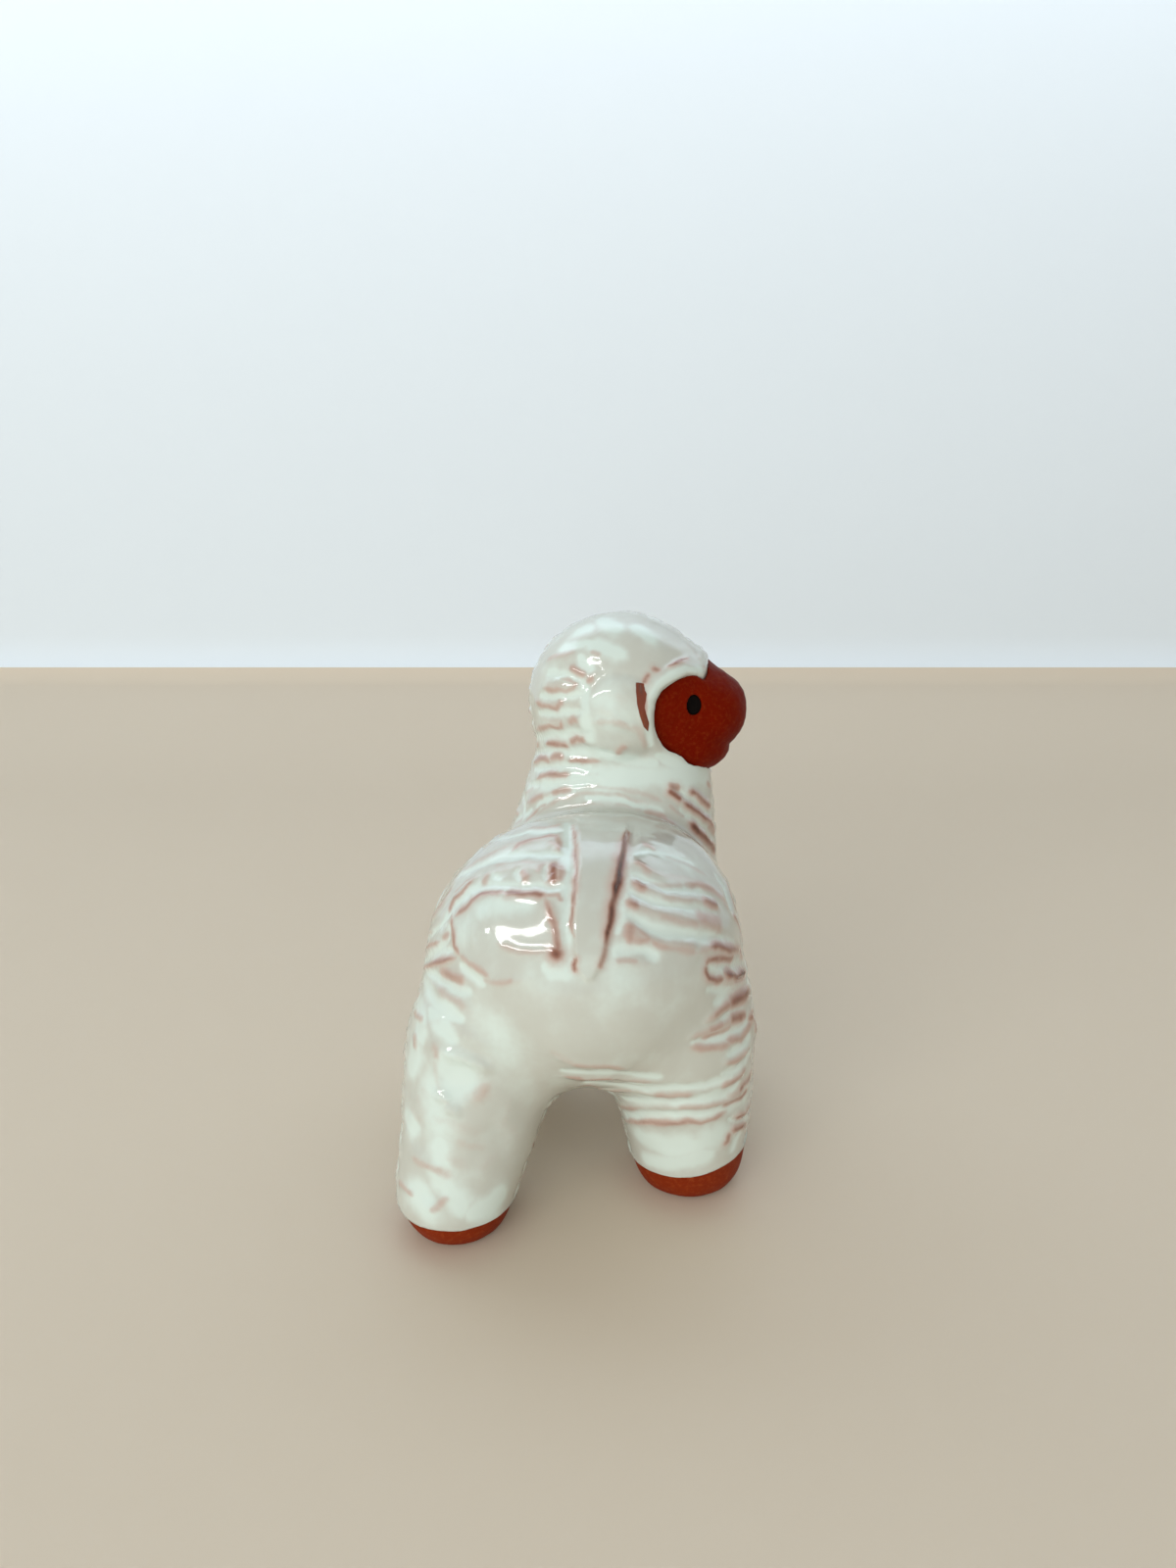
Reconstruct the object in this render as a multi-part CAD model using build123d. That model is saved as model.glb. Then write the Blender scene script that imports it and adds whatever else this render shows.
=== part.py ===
# Standing sheep figurine in glazed red earthenware, looking over its right shoulder.
# Hollow trunk made of two pinched cups, a hollow neck and head, solid legs, ears, tail,
# fringe roll and bare clay muzzle, all luted with slip, under one coat of white glaze.
# Millimetres. +Z up, +Y the way the trunk faces, +X the sheep's right, soles on Z = 0.
import os
from math import copysign, cos, pi, radians, sin, sqrt

from build123d import *

# ---------------------------------------------------------------- driving dimensions
GLAZE = 0.8            # thickness of the glaze coat
SLIP = 0.4             # thickness of the luting slip in each joint
WALL = 4.6             # clay wall of the hollow trunk
HEAD_WALL = 3.8        # clay wall of head and neck
SHIFT_X, SHIFT_Y = 0.7265, -30.9395   # puts the origin under the middle of the bounding box

# trunk: barrel about a fore-and-aft axis, sizes over the glaze
TRUNK_X0, TRUNK_Z0 = 0.2, 38.5
TRUNK_Y = (-2.0, 63.0)                     # rump to breast
TRUNK_HALF_H, TRUNK_FLAT = 20.6, 1.19      # half height, and width over height
TRUNK_FULL, TRUNK_TAPER = 2.4, 0.03        # 2 would be an ellipse, more is plumper; the rump is the thicker end
TRUNK_SEAM_Y = 31.0    # where the two cups are luted rim to rim

# legs: (z, x, y, radius) over the glaze, sole first
LEGS = {
    "hind_left_leg": [(0, -20.6, 5.9, 6.6), (1.3, -20.6, 5.9, 8.1), (4.5, -20.4, 6.2, 8.8), (12, -19.2, 8.6, 9.5),
                      (20, -17.7, 11.3, 10.2), (28, -15.2, 14.2, 10.3), (37, -11.0, 18.0, 8.6)],
    "hind_right_leg": [(0, 17.2, 18.0, 6.6), (1.3, 17.2, 18.0, 8.1), (4.5, 17.1, 18.0, 8.8), (12, 16.6, 17.9, 9.5),
                       (20, 15.9, 17.9, 10.2), (28, 14.0, 18.4, 10.3), (37, 10.4, 20.0, 8.6)],
    "front_left_leg": [(0, -14.6, 48.6, 6.5), (1.3, -14.6, 48.6, 8.0), (4.5, -14.5, 48.5, 8.6), (12, -14.0, 48.0, 9.2),
                       (20, -13.2, 47.2, 9.8), (28, -11.6, 45.8, 9.9), (37, -8.4, 43.4, 8.4)],
    "front_right_leg": [(0, 15.0, 48.8, 6.5), (1.3, 15.0, 48.8, 8.0), (4.5, 14.9, 48.7, 8.6), (12, 14.4, 48.2, 9.2),
                        (20, 13.6, 47.4, 9.8), (28, 12.0, 46.0, 9.9), (37, 8.8, 43.6, 8.4)],
}
GLAZE_LINE = {"hind_left_leg": 3.6, "hind_right_leg": 3.4, "front_left_leg": 3.5, "front_right_leg": 3.5}

# neck: (z, x, y, radius) over the glaze
NECK = [(46, 3.0, 44.0, 17.6), (54, 3.6, 45.2, 16.6), (61, 4.6, 46.6, 15.2), (68, 5.3, 47.8, 14.2)]
HEAD_C, HEAD_R = (5.4, 48.0, 73.7), 14.5                    # over the glaze
MUZZLE = ((17.2, 47.7, 72.8), (10.6, 9.3), 12.0)            # bare clay: centre, half length and radius, droop
JAW = ((15.6, 47.7, 67.4), (8.2, 6.2), 24.0)
FACE_AXIS, FACE_R = (19.6, 72.8), 8.6                       # bare face: circle seen from the side (x, z)
FRINGE_W, FRINGE_T = 3.0, 2.2                               # roll of clay round the bare face
EAR_AT, EAR_SIZE, EAR_LEAN = (6.6, 70.4), (5.2, 8.2), 8.0   # ear leaf: middle (x, z), half width and height, lean
EAR_OUT = {"right_ear": 32.0, "left_ear": 64.0}             # y of each ear's outer face
EYE_R, EYE_AT, EYE_PROUD = 1.5, (17.4, 75.0), 0.25          # pricked eye: radius, place (x, z), how far it stands out
TAIL_T = 1.7                                                # tail strip's height off the rump
TAIL = [(-2.7, 11.2), (-1.5, -12.8), (0.2, -14.4), (1.9, -12.8), (6.6, 12.8)]   # outline: x, and height up the rump
TAIL_PITCH = 48.0                                           # the outline faces this far above the horizon
PASSAGE_R = 4.5                                             # air passage through the neck
VENT_R, VENT_AT = 2.0, (0.2, 24.0)                          # firing vent in the belly


# ---------------------------------------------------------------- shapes, each grown by `o`
def trunk(o):
    y0, y1 = TRUNK_Y
    yc, half = (y0 + y1) / 2, (y1 - y0) / 2

    def outline(t):
        c, s = cos(t), sin(t)
        along = copysign(abs(c) ** (2 / TRUNK_FULL), c)
        return TRUNK_HALF_H * abs(s) ** (2 / TRUNK_FULL) * (1 + TRUNK_TAPER * along), yc - half * along

    slices = []
    for t in (0.06, 0.22, 0.42, 0.65, 0.9, 1.2, 1.57, 1.94, 2.24, 2.49, 2.72, 2.92, 3.08):
        (ra, ya), (rb, yb) = outline(t - 1e-4), outline(t + 1e-4)
        r, y = outline(t)
        dr, dy = rb - ra, yb - ya
        size = sqrt(dr * dr + dy * dy)
        r, y = r + o * dy / size, y - o * dr / size
        slices.append(Plane(origin=(TRUNK_X0, y, TRUNK_Z0), x_dir=(1, 0, 0), z_dir=(0, 1, 0))
                      * Ellipse(r * TRUNK_FLAT, r))
    return loft(slices)


def tower(sections, o):
    return loft([Pos(x, y, z) * Circle(r + o) for z, x, y, r in sections])


def ball(o):
    return Pos(*HEAD_C) * Rot(0, 0, 180) * Sphere(HEAD_R + o)


def egg(c, size, droop, o=0.0):
    a, r = size[0] + o, size[1] + o
    upper_half = Ellipse(a, r) & Pos(0, r) * Rectangle(4 * a, 2 * r)
    return Pos(*c) * Rot(0, droop, 0) * revolve(upper_half, axis=Axis.X)


def side_bar(x, z, r):
    return Pos(x, 48, z) * Rot(90, 0, 0) * Cylinder(r, 80)


os.makedirs("parts", exist_ok=True)
parts = {}
G = -GLAZE
S = G + SLIP


def one(shape):
    """The largest solid of a boolean's result."""
    return max(shape.solids(), key=lambda s: s.volume)


def every(shape, least=0.5):
    return [s for s in shape.solids() if s.volume > least]


t_in, t_clay, t_slip, t_out = (trunk(o) for o in (G - WALL, G, S, 0))
h_in, h_clay, h_slip, h_out = (ball(o) for o in (G - HEAD_WALL, G, S, 0))
n_in, n_clay, n_slip, n_out = (tower(NECK, o) for o in (G - HEAD_WALL, G, S, 0))
leg_clay = {k: tower(v, G) for k, v in LEGS.items()}
leg_out = {k: tower(v, 0) for k, v in LEGS.items()}
muzzle_full = egg(*MUZZLE) + egg(*JAW)
muzzle_wide = egg(*MUZZLE, EYE_PROUD)
ring_in, ring_out = side_bar(*FACE_AXIS, FACE_R), side_bar(*FACE_AXIS, FACE_R + FRINGE_W)
ring_glaze = side_bar(*FACE_AXIS, FACE_R - 0.5), side_bar(*FACE_AXIS, FACE_R + FRINGE_W + 0.7)
fringe_clay = (ball(S + FRINGE_T) & ring_out) - ring_in
fringe_out = (ball(S + FRINGE_T + GLAZE) & ring_glaze[1]) - ring_glaze[0]


def ear_leaf(name, o):
    y = EAR_OUT[name]
    way = -1 if y < HEAD_C[1] else 1
    leaf = Pos(EAR_AT[0], y + way * o, EAR_AT[1]) * Rot(0, EAR_LEAN, 0) * Rot(90, 0, 0)
    leaf *= Ellipse(EAR_SIZE[0] + o, EAR_SIZE[1] + o)
    return extrude(leaf, 9 + o, dir=(0, -way, 0))


ears_clay = {k: ear_leaf(k, G) for k in EAR_OUT}
ears_out = [ear_leaf(k, 0) for k in EAR_OUT]


def tail_bar(o):
    place = Plane(origin=(0, 24, TRUNK_Z0), x_dir=(1, 0, 0),
                  z_dir=(0, -cos(radians(TAIL_PITCH)), sin(radians(TAIL_PITCH))))
    flat = Polygon(*TAIL, align=None)
    if o:
        flat = offset(flat, o)
    return extrude(place * flat, 60)


tail_clay = trunk(S + TAIL_T) & tail_bar(0)
tail_out = trunk(S + TAIL_T + GLAZE) & tail_bar(GLAZE)
vent = Pos(*VENT_AT, 22) * Cylinder(VENT_R, 24)
passage = Pos(4.2, 45.9, 56) * Cylinder(PASSAGE_R, 34)

# ---------------------------------------------------------------- the clay pieces
back_of = Pos(0, TRUNK_SEAM_Y - SLIP / 2 - 60, 40) * Box(120, 120, 120)
front_of = Pos(0, TRUNK_SEAM_Y + SLIP / 2 + 60, 40) * Box(120, 120, 120)
seam = Pos(0, TRUNK_SEAM_Y, 40) * Box(120, SLIP, 120)
trunk_shell = t_clay - t_in - passage - vent
parts["rear_trunk_shell"] = one(trunk_shell & back_of)
parts["front_trunk_shell"] = one(trunk_shell & front_of)
for name, leg in leg_clay.items():
    parts[name] = one(leg - t_slip)
parts["neck"] = one(n_clay - n_in - t_slip - h_slip)
parts["head"] = one(h_clay - h_in - passage)
eye_balls = {}
for name, side in (("right_eye", -1), ("left_eye", 1)):
    x, z = EYE_AT
    dx, dz = x - MUZZLE[0][0], z - MUZZLE[0][2]
    c, s = cos(radians(MUZZLE[2])), sin(radians(MUZZLE[2]))
    u, w = c * dx - s * dz, s * dx + c * dz
    a, r = MUZZLE[1]
    y = MUZZLE[0][1] + side * r * sqrt(1 - (u / a) ** 2 - (w / r) ** 2)
    eye_balls[name] = Pos(x, y, z) * Sphere(EYE_R)
    parts[name] = one((eye_balls[name] & muzzle_wide) - h_slip)
parts["muzzle"] = one(muzzle_full - h_slip - n_clay - eye_balls["right_eye"] - eye_balls["left_eye"])
parts["fringe"] = one(fringe_clay - h_slip - muzzle_full - n_clay)
for name, ear in ears_clay.items():
    parts[name] = one(ear - h_slip - n_clay - fringe_clay)
parts["tail"] = one(tail_clay - t_slip)

# ---------------------------------------------------------------- slip in every luted joint
pads = [one((t_clay & seam) - t_in)]
for leg in leg_clay.values():
    pads += [one((leg & t_slip) - t_clay)]
pads += [one((n_clay & t_slip) - t_clay - passage), one((n_clay & h_slip) - h_clay - n_in - passage)]
pads += [one((tail_clay & t_slip) - t_clay)]
pads += [one((muzzle_full & h_slip) - h_clay - n_clay)]
pads += [one((fringe_clay & h_slip) - h_clay - muzzle_full - n_clay)]
pads += [one((ear_leaf(k, G - 0.05) & h_slip) - h_clay - n_clay - fringe_clay) for k in EAR_OUT]
parts["luting_slip"] = pads

# ---------------------------------------------------------------- one coat of glaze over the lot
coat = t_out + n_out + h_out
for name, leg in leg_out.items():
    coat += leg - Pos(0, 0, GLAZE_LINE[name] - 50) * Box(200, 200, 100)
coat = coat + fringe_out + ears_out[0] + ears_out[1] + tail_out
inside = t_clay + n_clay + h_clay
for leg in leg_clay.values():
    inside += leg
inside = inside + fringe_clay + ears_clay["right_ear"] + ears_clay["left_ear"] + tail_clay + muzzle_full
coat = coat - inside - Pos(*VENT_AT, 18) * Cylinder(VENT_R + 0.4, 20) - side_bar(*FACE_AXIS, FACE_R - 0.25)
parts["glaze_coat"] = one(coat)

# ---------------------------------------------------------------- write
place = Pos(SHIFT_X, SHIFT_Y, 0)
low, high = [1e9] * 3, [-1e9] * 3
for name, shape in parts.items():
    solids = shape if isinstance(shape, list) else [shape]
    moved = [place * s for s in solids]
    out = moved[0] if len(moved) == 1 else Compound(children=[Solid(m.wrapped) for m in moved])
    export_step(out, f"parts/{name}.step")
    box = out.bounding_box()
    low = [min(a, b) for a, b in zip(low, tuple(box.min))]
    high = [max(a, b) for a, b in zip(high, tuple(box.max))]
    print(name, [round(s.volume, 1) for s in moved], [s.is_valid for s in moved])
print("box", [round(v, 3) for v in low], [round(v, 3) for v in high])
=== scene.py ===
import math

import bpy
import numpy as np
from mathutils.kdtree import KDTree
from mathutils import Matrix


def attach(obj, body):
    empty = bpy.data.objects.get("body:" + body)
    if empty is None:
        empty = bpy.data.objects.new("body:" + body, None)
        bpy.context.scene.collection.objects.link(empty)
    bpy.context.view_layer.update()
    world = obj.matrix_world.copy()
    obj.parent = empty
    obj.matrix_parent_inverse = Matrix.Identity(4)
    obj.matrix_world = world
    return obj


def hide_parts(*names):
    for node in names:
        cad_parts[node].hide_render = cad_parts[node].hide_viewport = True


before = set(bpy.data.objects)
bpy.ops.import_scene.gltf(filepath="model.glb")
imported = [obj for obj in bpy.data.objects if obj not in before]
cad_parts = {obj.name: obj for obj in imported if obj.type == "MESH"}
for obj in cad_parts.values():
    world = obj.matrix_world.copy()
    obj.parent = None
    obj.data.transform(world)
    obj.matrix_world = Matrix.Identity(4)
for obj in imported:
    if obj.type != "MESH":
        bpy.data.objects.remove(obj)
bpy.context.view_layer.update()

F = np.float32
MM = 0.001
SHIFT = np.array([0.7265, -30.9395, 0.0])       # sculpting frame (mm) to the part's frame (mm)

# ------------------------------------------------------------------ viewing geometry (sculpting frame, mm)
FOCAL, CX, CY = 1202.0, 600.0, 800.0
PITCH = math.radians(17.5)
EYE = np.array([0.0, -150.0, 120.6])
FWD = np.array([0.0, math.cos(PITCH), -math.sin(PITCH)])
UPV = np.array([0.0, math.sin(PITCH), math.cos(PITCH)])


# ------------------------------------------------------------------ distance fields
def smin(a, b, k):
    h = np.clip(0.5 + 0.5 * (b - a) / k, 0, 1)
    return b * (1 - h) + a * h - k * h * (1 - h)


def smax(a, b, k):
    return -smin(-a, -b, k)


def tilt_y(deg):
    a = math.radians(deg)
    c, s = math.cos(a), math.sin(a)
    return np.array([[c, 0, s], [0, 1, 0], [-s, 0, c]], F)


def ell(p, c, r, R=None):
    q = p - np.array(c, F)
    if R is not None:
        q = q @ R
    r = np.array(r, F)
    k0 = np.sqrt(((q / r) ** 2).sum(-1))
    k1 = np.sqrt(((q / (r * r)) ** 2).sum(-1))
    return k0 * (k0 - 1) / np.maximum(k1, 1e-9)


def rcone(p, a, b, r1, r2):
    a, b = np.array(a, F), np.array(b, F)
    ba = b - a
    l2 = float((ba * ba).sum())
    rr = r1 - r2
    a2 = l2 - rr * rr
    il2 = 1 / l2
    pa = p - a
    y = pa @ ba
    z = y - l2
    d = pa * l2 - y[..., None] * ba
    x2 = (d * d).sum(-1)
    y2, z2 = y * y * l2, z * z * l2
    k = math.copysign(rr * rr, rr) * x2
    out = (np.sqrt(np.maximum(x2 * a2 * il2, 0)) + y * rr) * il2 - r1
    out = np.where(np.sign(y) * a2 * y2 < k, np.sqrt(np.maximum(x2 + y2, 0)) * il2 - r1, out)
    return np.where(np.sign(z) * a2 * z2 > k, np.sqrt(np.maximum(x2 + z2, 0)) * il2 - r2, out)


def poly_sd(u, v, poly):
    """Signed distance to a polygon in a plane, negative inside."""
    poly = np.array(poly, F)
    best = np.full(u.shape, 1e9, F)
    inside = np.zeros(u.shape, bool)
    for (ax, ay), (bx, by) in zip(poly, np.roll(poly, -1, axis=0)):
        ex, ey = bx - ax, by - ay
        t = np.clip(((u - ax) * ex + (v - ay) * ey) / (ex * ex + ey * ey + 1e-12), 0, 1)
        best = np.minimum(best, (u - ax - t * ex) ** 2 + (v - ay - t * ey) ** 2)
        if ay != by:
            inside ^= ((ay > v) != (by > v)) & (u < ex * (v - ay) / ey + ax)
    d = np.sqrt(best)
    return np.where(inside, -d, d)


LEGS = {
    "hind_left_leg": ((-16.0, 13.5, 27), (-20.4, 5.9, 6.0), 12.3, 9.3),
    "hind_right_leg": ((14.6, 17, 27), (16.4, 18.0, 6.0), 12.0, 9.8),
    "front_left_leg": ((-13.0, 47, 24), (-14.6, 48.6, 6.0), 11.0, 8.8),
    "front_right_leg": ((13.4, 47, 24), (15.0, 48.8, 6.0), 11.0, 8.8),
}
# bare face seen from the side: outline in (x, z); open towards the nose
FACE = [(10.8, 72.0), (10.7, 74.4), (11.0, 76.4), (11.9, 77.8), (13.0, 78.6), (14.7, 79.3), (16.4, 79.6), (17.8, 79.2),
        (18.9, 78.4), (19.4, 78.4), (20.0, 79.2), (20.6, 81.2), (23, 85), (36, 86), (36, 56), (23, 58), (20.2, 63.3),
        (17.7, 64.3), (16.6, 65.0), (15.7, 66.1), (14.5, 67.0), (13.3, 67.6), (12.3, 68.6), (11.4, 70.3)]


def head_d(p):
    return ell(p, (5.4, 48, 73.9), (15.5, 14.2, 14.6))


def face_d(p):
    return poly_sd(p[..., 0], p[..., 2], FACE)


def ear_d(p, side):
    q = p.copy()
    if side > 0:
        q[..., 1] = 96 - q[..., 1]
    lobe = ell(q, (5.0, 35.4, 73.0), (6.5, 3.1, 7.2), tilt_y(6))
    front = (q[..., 0] - 9.0) - (q[..., 2] - 72.0) * -0.10
    return smax(lobe, front, 0.35)


def trunk_d(p):
    d = smin(ell(p, (-0.5, 22, 38.9), (24.9, 24, 21.0)), ell(p, (1.5, 41, 37.2), (23.2, 22.5, 17.8)), 5)
    return smin(d, ell(p, (5.0, 27, 40), (18.9, 20, 18.8)), 3)


def neck_d(p):
    """Cone, a little flattened front to back."""
    q = p.copy()
    q[..., 1] = (q[..., 1] - 46) / 0.87 + 46
    return rcone(q, (4.35, 45, 47.5), (6.6, 48, 67), 18.3, 14.1) * 0.87


def ring_d(p):
    """Roll of clay round the bare face."""
    h = head_d(p)
    near = h < 6
    ring = np.full(h.shape, 9.0, F)
    if near.any():
        ring[near] = np.sqrt((face_d(p[near]) - 1.3) ** 2 + (h[near] + 0.2) ** 2) - 1.5
    return ring


def outer_d(p):
    """Whole glazed body."""
    s = trunk_d(p)
    for a, b, r1, r2 in LEGS.values():
        s = smin(s, rcone(p, a, b, r1, r2), 6)
    s = smin(s, neck_d(p), 1.8)
    s = smin(s, head_d(p), 3)
    s = smin(s, ell(p, (14.6, 47.0, 79.6), (5.9, 7.0, 4.4), tilt_y(24)), 2.0)
    s = smin(s, ring_d(p), 0.6)
    s = smin(s, ear_d(p, -1), 0.9)
    return smin(s, ear_d(p, 1), 0.9)


# the muzzle's side profile in (x, z): straight bridge, blunt nose, mouth notch, jaw running back to the neck
PROFILE = [(20.5, 80.1), (23.3, 78.5), (25.0, 77.1), (25.8, 76.4), (26.4, 75.5), (26.8, 74.1), (27.05, 72.6), (27.0, 71.2),
           (26.7, 70.0), (26.1, 68.7), (25.2, 67.4), (24.3, 66.6), (24.2, 65.4), (23.6, 64.3), (22.7, 63.4), (21.8, 62.7),
           (20.6, 62.1), (18.5, 61.6), (13, 62.0), (7, 65), (4, 71), (5, 77), (9, 81.5), (14, 82.6), (18, 81.6)]
MUZZLE_Y, MUZZLE_HALF, MUZZLE_ROUND = 46.8, 9.3, 7.4


def muzzle_lobes(p):
    edge = poly_sd(p[..., 0], p[..., 2], PROFILE) + MUZZLE_ROUND
    wide = MUZZLE_HALF - 0.10 * np.clip(p[..., 0] - 16, 0, 12) - MUZZLE_ROUND
    off = np.abs(p[..., 1] - MUZZLE_Y) - wide
    return np.sqrt(np.maximum(edge, 0) ** 2 + np.maximum(off, 0) ** 2) + np.minimum(np.maximum(edge, off), 0) - MUZZLE_ROUND


def muzzle_d(p):
    cheek = smax(head_d(p) + 0.45, face_d(p) - 1.2, 0.5)
    d = smin(muzzle_lobes(p), cheek, 3.0)
    return np.maximum(d, np.minimum(face_d(p) - 0.2, outer_d(p) + 0.5))


# ------------------------------------------------------------------ seeded noise
LATTICE = np.random.RandomState(11).rand(64, 64, 64).astype(F) * 2 - 1


def noise(p, size, seed=0):
    q = p / size + seed * 7.31 + 64.0
    i = np.floor(q).astype(np.int32)
    f = (q - i).astype(F)
    f = f * f * f * (f * (f * 6 - 15) + 10)
    out = 0
    for dx in (0, 1):
        for dy in (0, 1):
            for dz in (0, 1):
                w = (f[..., 0] if dx else 1 - f[..., 0]) * (f[..., 1] if dy else 1 - f[..., 1]) * (f[..., 2] if dz else 1 - f[..., 2])
                out = out + w * LATTICE[(i[..., 0] + dx) % 64, (i[..., 1] + dy) % 64, (i[..., 2] + dz) % 64]
    return out


# ------------------------------------------------------------------ meshing
def grid_mesh(field, lo, hi, step):
    """Surface net of field = 0 over a box, as triangles, normals outwards."""
    lo, hi = np.array(lo, float), np.array(hi, float)
    n = np.ceil((hi - lo) / step).astype(int) + 1
    axes = [lo[k] + step * np.arange(n[k]) for k in range(3)]
    vals = np.empty(tuple(n), F)
    for i in range(0, n[0], 24):
        block = np.stack(np.meshgrid(axes[0][i:i + 24], axes[1], axes[2], indexing="ij"), -1).astype(F)
        vals[i:i + 24] = field(block)
    inside = vals < 0
    m = n - 1
    total = np.zeros(tuple(m) + (3,), F)
    count = np.zeros(tuple(m), F)

    def at(a, o):
        return a[o[0]:o[0] + m[0], o[1]:o[1] + m[1], o[2]:o[2] + m[2]]
    for ax in range(3):
        o1, o2 = [k for k in range(3) if k != ax]
        for a in (0, 1):
            for b in (0, 1):
                s = [0, 0, 0]
                s[o1], s[o2] = a, b
                e = list(s)
                e[ax] = 1
                v0, v1 = at(vals, s), at(vals, e)
                cross = at(inside, s) != at(inside, e)
                t = np.where(cross, v0 / np.where(cross, v0 - v1, 1), 0)
                pos = np.zeros(tuple(m) + (3,), F)
                pos[..., o1], pos[..., o2] = a, b
                pos[..., ax] = t
                total += pos * cross[..., None]
                count += cross
    live = count > 0
    index = np.full(tuple(m), -1, np.int64)
    index[live] = np.arange(live.sum())
    cell = np.argwhere(live)
    verts = lo + step * (cell + total[live] / count[live][:, None])
    tris = []
    for ax in range(3):
        o1, o2 = (ax + 1) % 3, (ax + 2) % 3
        a = [slice(None)] * 3
        b = [slice(None)] * 3
        a[ax], b[ax] = slice(0, -1), slice(1, None)
        sa, sb = inside[tuple(a)], inside[tuple(b)]
        pts = np.argwhere(sa != sb)
        ok = (pts[:, o1] > 0) & (pts[:, o2] > 0) & (pts[:, o1] < m[o1]) & (pts[:, o2] < m[o2])
        pts = pts[ok]
        flip = sa[tuple(pts.T)]

        def cid(d1, d2):
            q = pts.copy()
            q[:, o1] -= d1
            q[:, o2] -= d2
            return index[tuple(q.T)]
        q = np.stack([cid(1, 1), cid(0, 1), cid(0, 0), cid(1, 0)], 1)
        q[~flip] = q[~flip][:, ::-1]
        tris += [q[:, [0, 1, 2]], q[:, [0, 2, 3]]]
    return verts, np.concatenate(tris)


def gradient(field, v, e=0.03):
    v = v.astype(F)
    g = np.empty(v.shape, np.float64)
    for k in range(3):
        d = np.zeros(3, F)
        d[k] = e
        g[:, k] = (field(v + d) - field(v - d)) / (2 * e)
    return g


def settle(field, v, rounds=3):
    """Moves points onto field = 0."""
    for _ in range(rounds):
        g = gradient(field, v)
        s = field(v.astype(F)).astype(float)
        step = s[:, None] * g / np.maximum((g * g).sum(1), 0.2)[:, None]
        size = np.linalg.norm(step, axis=1, keepdims=True)
        v = v - step * np.minimum(1, 0.4 / np.maximum(size, 1e-9))
    return v


def compact(v, f):
    used = np.unique(f)
    back = np.full(len(v), -1, np.int64)
    back[used] = np.arange(len(used))
    return v[used], back[f], used


def clip(v, f, value):
    """Keeps the part of a triangle mesh where value > 0, cutting triangles along value = 0."""
    value = np.where(np.abs(value) < 0.04, 0.0, value)
    keep = value > 0
    inn = keep[f].sum(1)
    out = [f[(value[f] >= 0).all(1) & (inn > 0)]]
    new_v, edge = [], {}

    def cut(i, j):
        key = (i, j) if i < j else (j, i)
        if key not in edge:
            t = value[i] / (value[i] - value[j])
            edge[key] = len(v) + len(new_v)
            new_v.append(v[i] + t * (v[j] - v[i]))
        return edge[key]
    extra = []
    for tri in f[(inn > 0) & (value[f] < 0).any(1)]:
        ring = []
        for a, b in ((0, 1), (1, 2), (2, 0)):
            i, j = int(tri[a]), int(tri[b])
            if value[i] >= 0:
                ring.append(i)
            if (value[i] > 0 and value[j] < 0) or (value[i] < 0 and value[j] > 0):
                ring.append(cut(i, j))
        for k in range(1, len(ring) - 1):
            extra.append((ring[0], ring[k], ring[k + 1]))
    if extra:
        out.append(np.array(extra, np.int64))
    v2 = np.concatenate([v, np.array(new_v)]) if new_v else v
    f2 = np.concatenate(out)
    return compact(v2, f2)[:2]


def edges_of(f):
    e = np.sort(np.concatenate([f[:, [0, 1]], f[:, [1, 2]], f[:, [2, 0]]]), axis=1)
    return e


def refine(v, f, want):
    """Splits every edge whose two ends are both wanted, except edges on the rim."""
    e = edges_of(f)
    key = e[:, 0] * len(v) + e[:, 1]
    uniq, inv, cnt = np.unique(key, return_inverse=True, return_counts=True)
    a, b = uniq // len(v), uniq % len(v)
    split = want[a] & want[b] & (cnt == 2)
    mid = np.full(len(uniq), -1, np.int64)
    mid[split] = len(v) + np.arange(split.sum())
    v2 = np.concatenate([v, (v[a[split]] + v[b[split]]) / 2])
    n = len(f)
    m01, m12, m20 = mid[inv[:n]], mid[inv[n:2 * n]], mid[inv[2 * n:]]
    s = (m01 >= 0).astype(int) + (m12 >= 0) + (m20 >= 0)
    out = [f[s == 0]]
    full = s == 3
    A, B, C = f[full].T
    p, q, r = m01[full], m12[full], m20[full]
    out += [np.stack(t, 1) for t in ((A, p, r), (p, B, q), (r, q, C), (p, q, r))]
    for turn in range(3):
        g = np.roll(f, -turn, axis=1)
        h = [m01, m12, m20]
        h = h[turn:] + h[:turn]
        one = (s == 1) & (h[0] >= 0)
        A, B, C = g[one].T
        p = h[0][one]
        out += [np.stack((A, p, C), 1), np.stack((p, B, C), 1)]
        two = (s == 2) & (h[2] < 0)
        A, B, C = g[two].T
        p, q = h[0][two], h[1][two]
        out += [np.stack((p, B, q), 1), np.stack((A, p, q), 1), np.stack((A, q, C), 1)]
    return v2, np.concatenate(out)


def rim_edges(f):
    d = np.concatenate([f[:, [0, 1]], f[:, [1, 2]], f[:, [2, 0]]])
    e = np.sort(d, axis=1)
    key = e[:, 0] * (f.max() + 1) + e[:, 1]
    _, inv, cnt = np.unique(key, return_inverse=True, return_counts=True)
    return d[cnt[inv] == 1]


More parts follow.
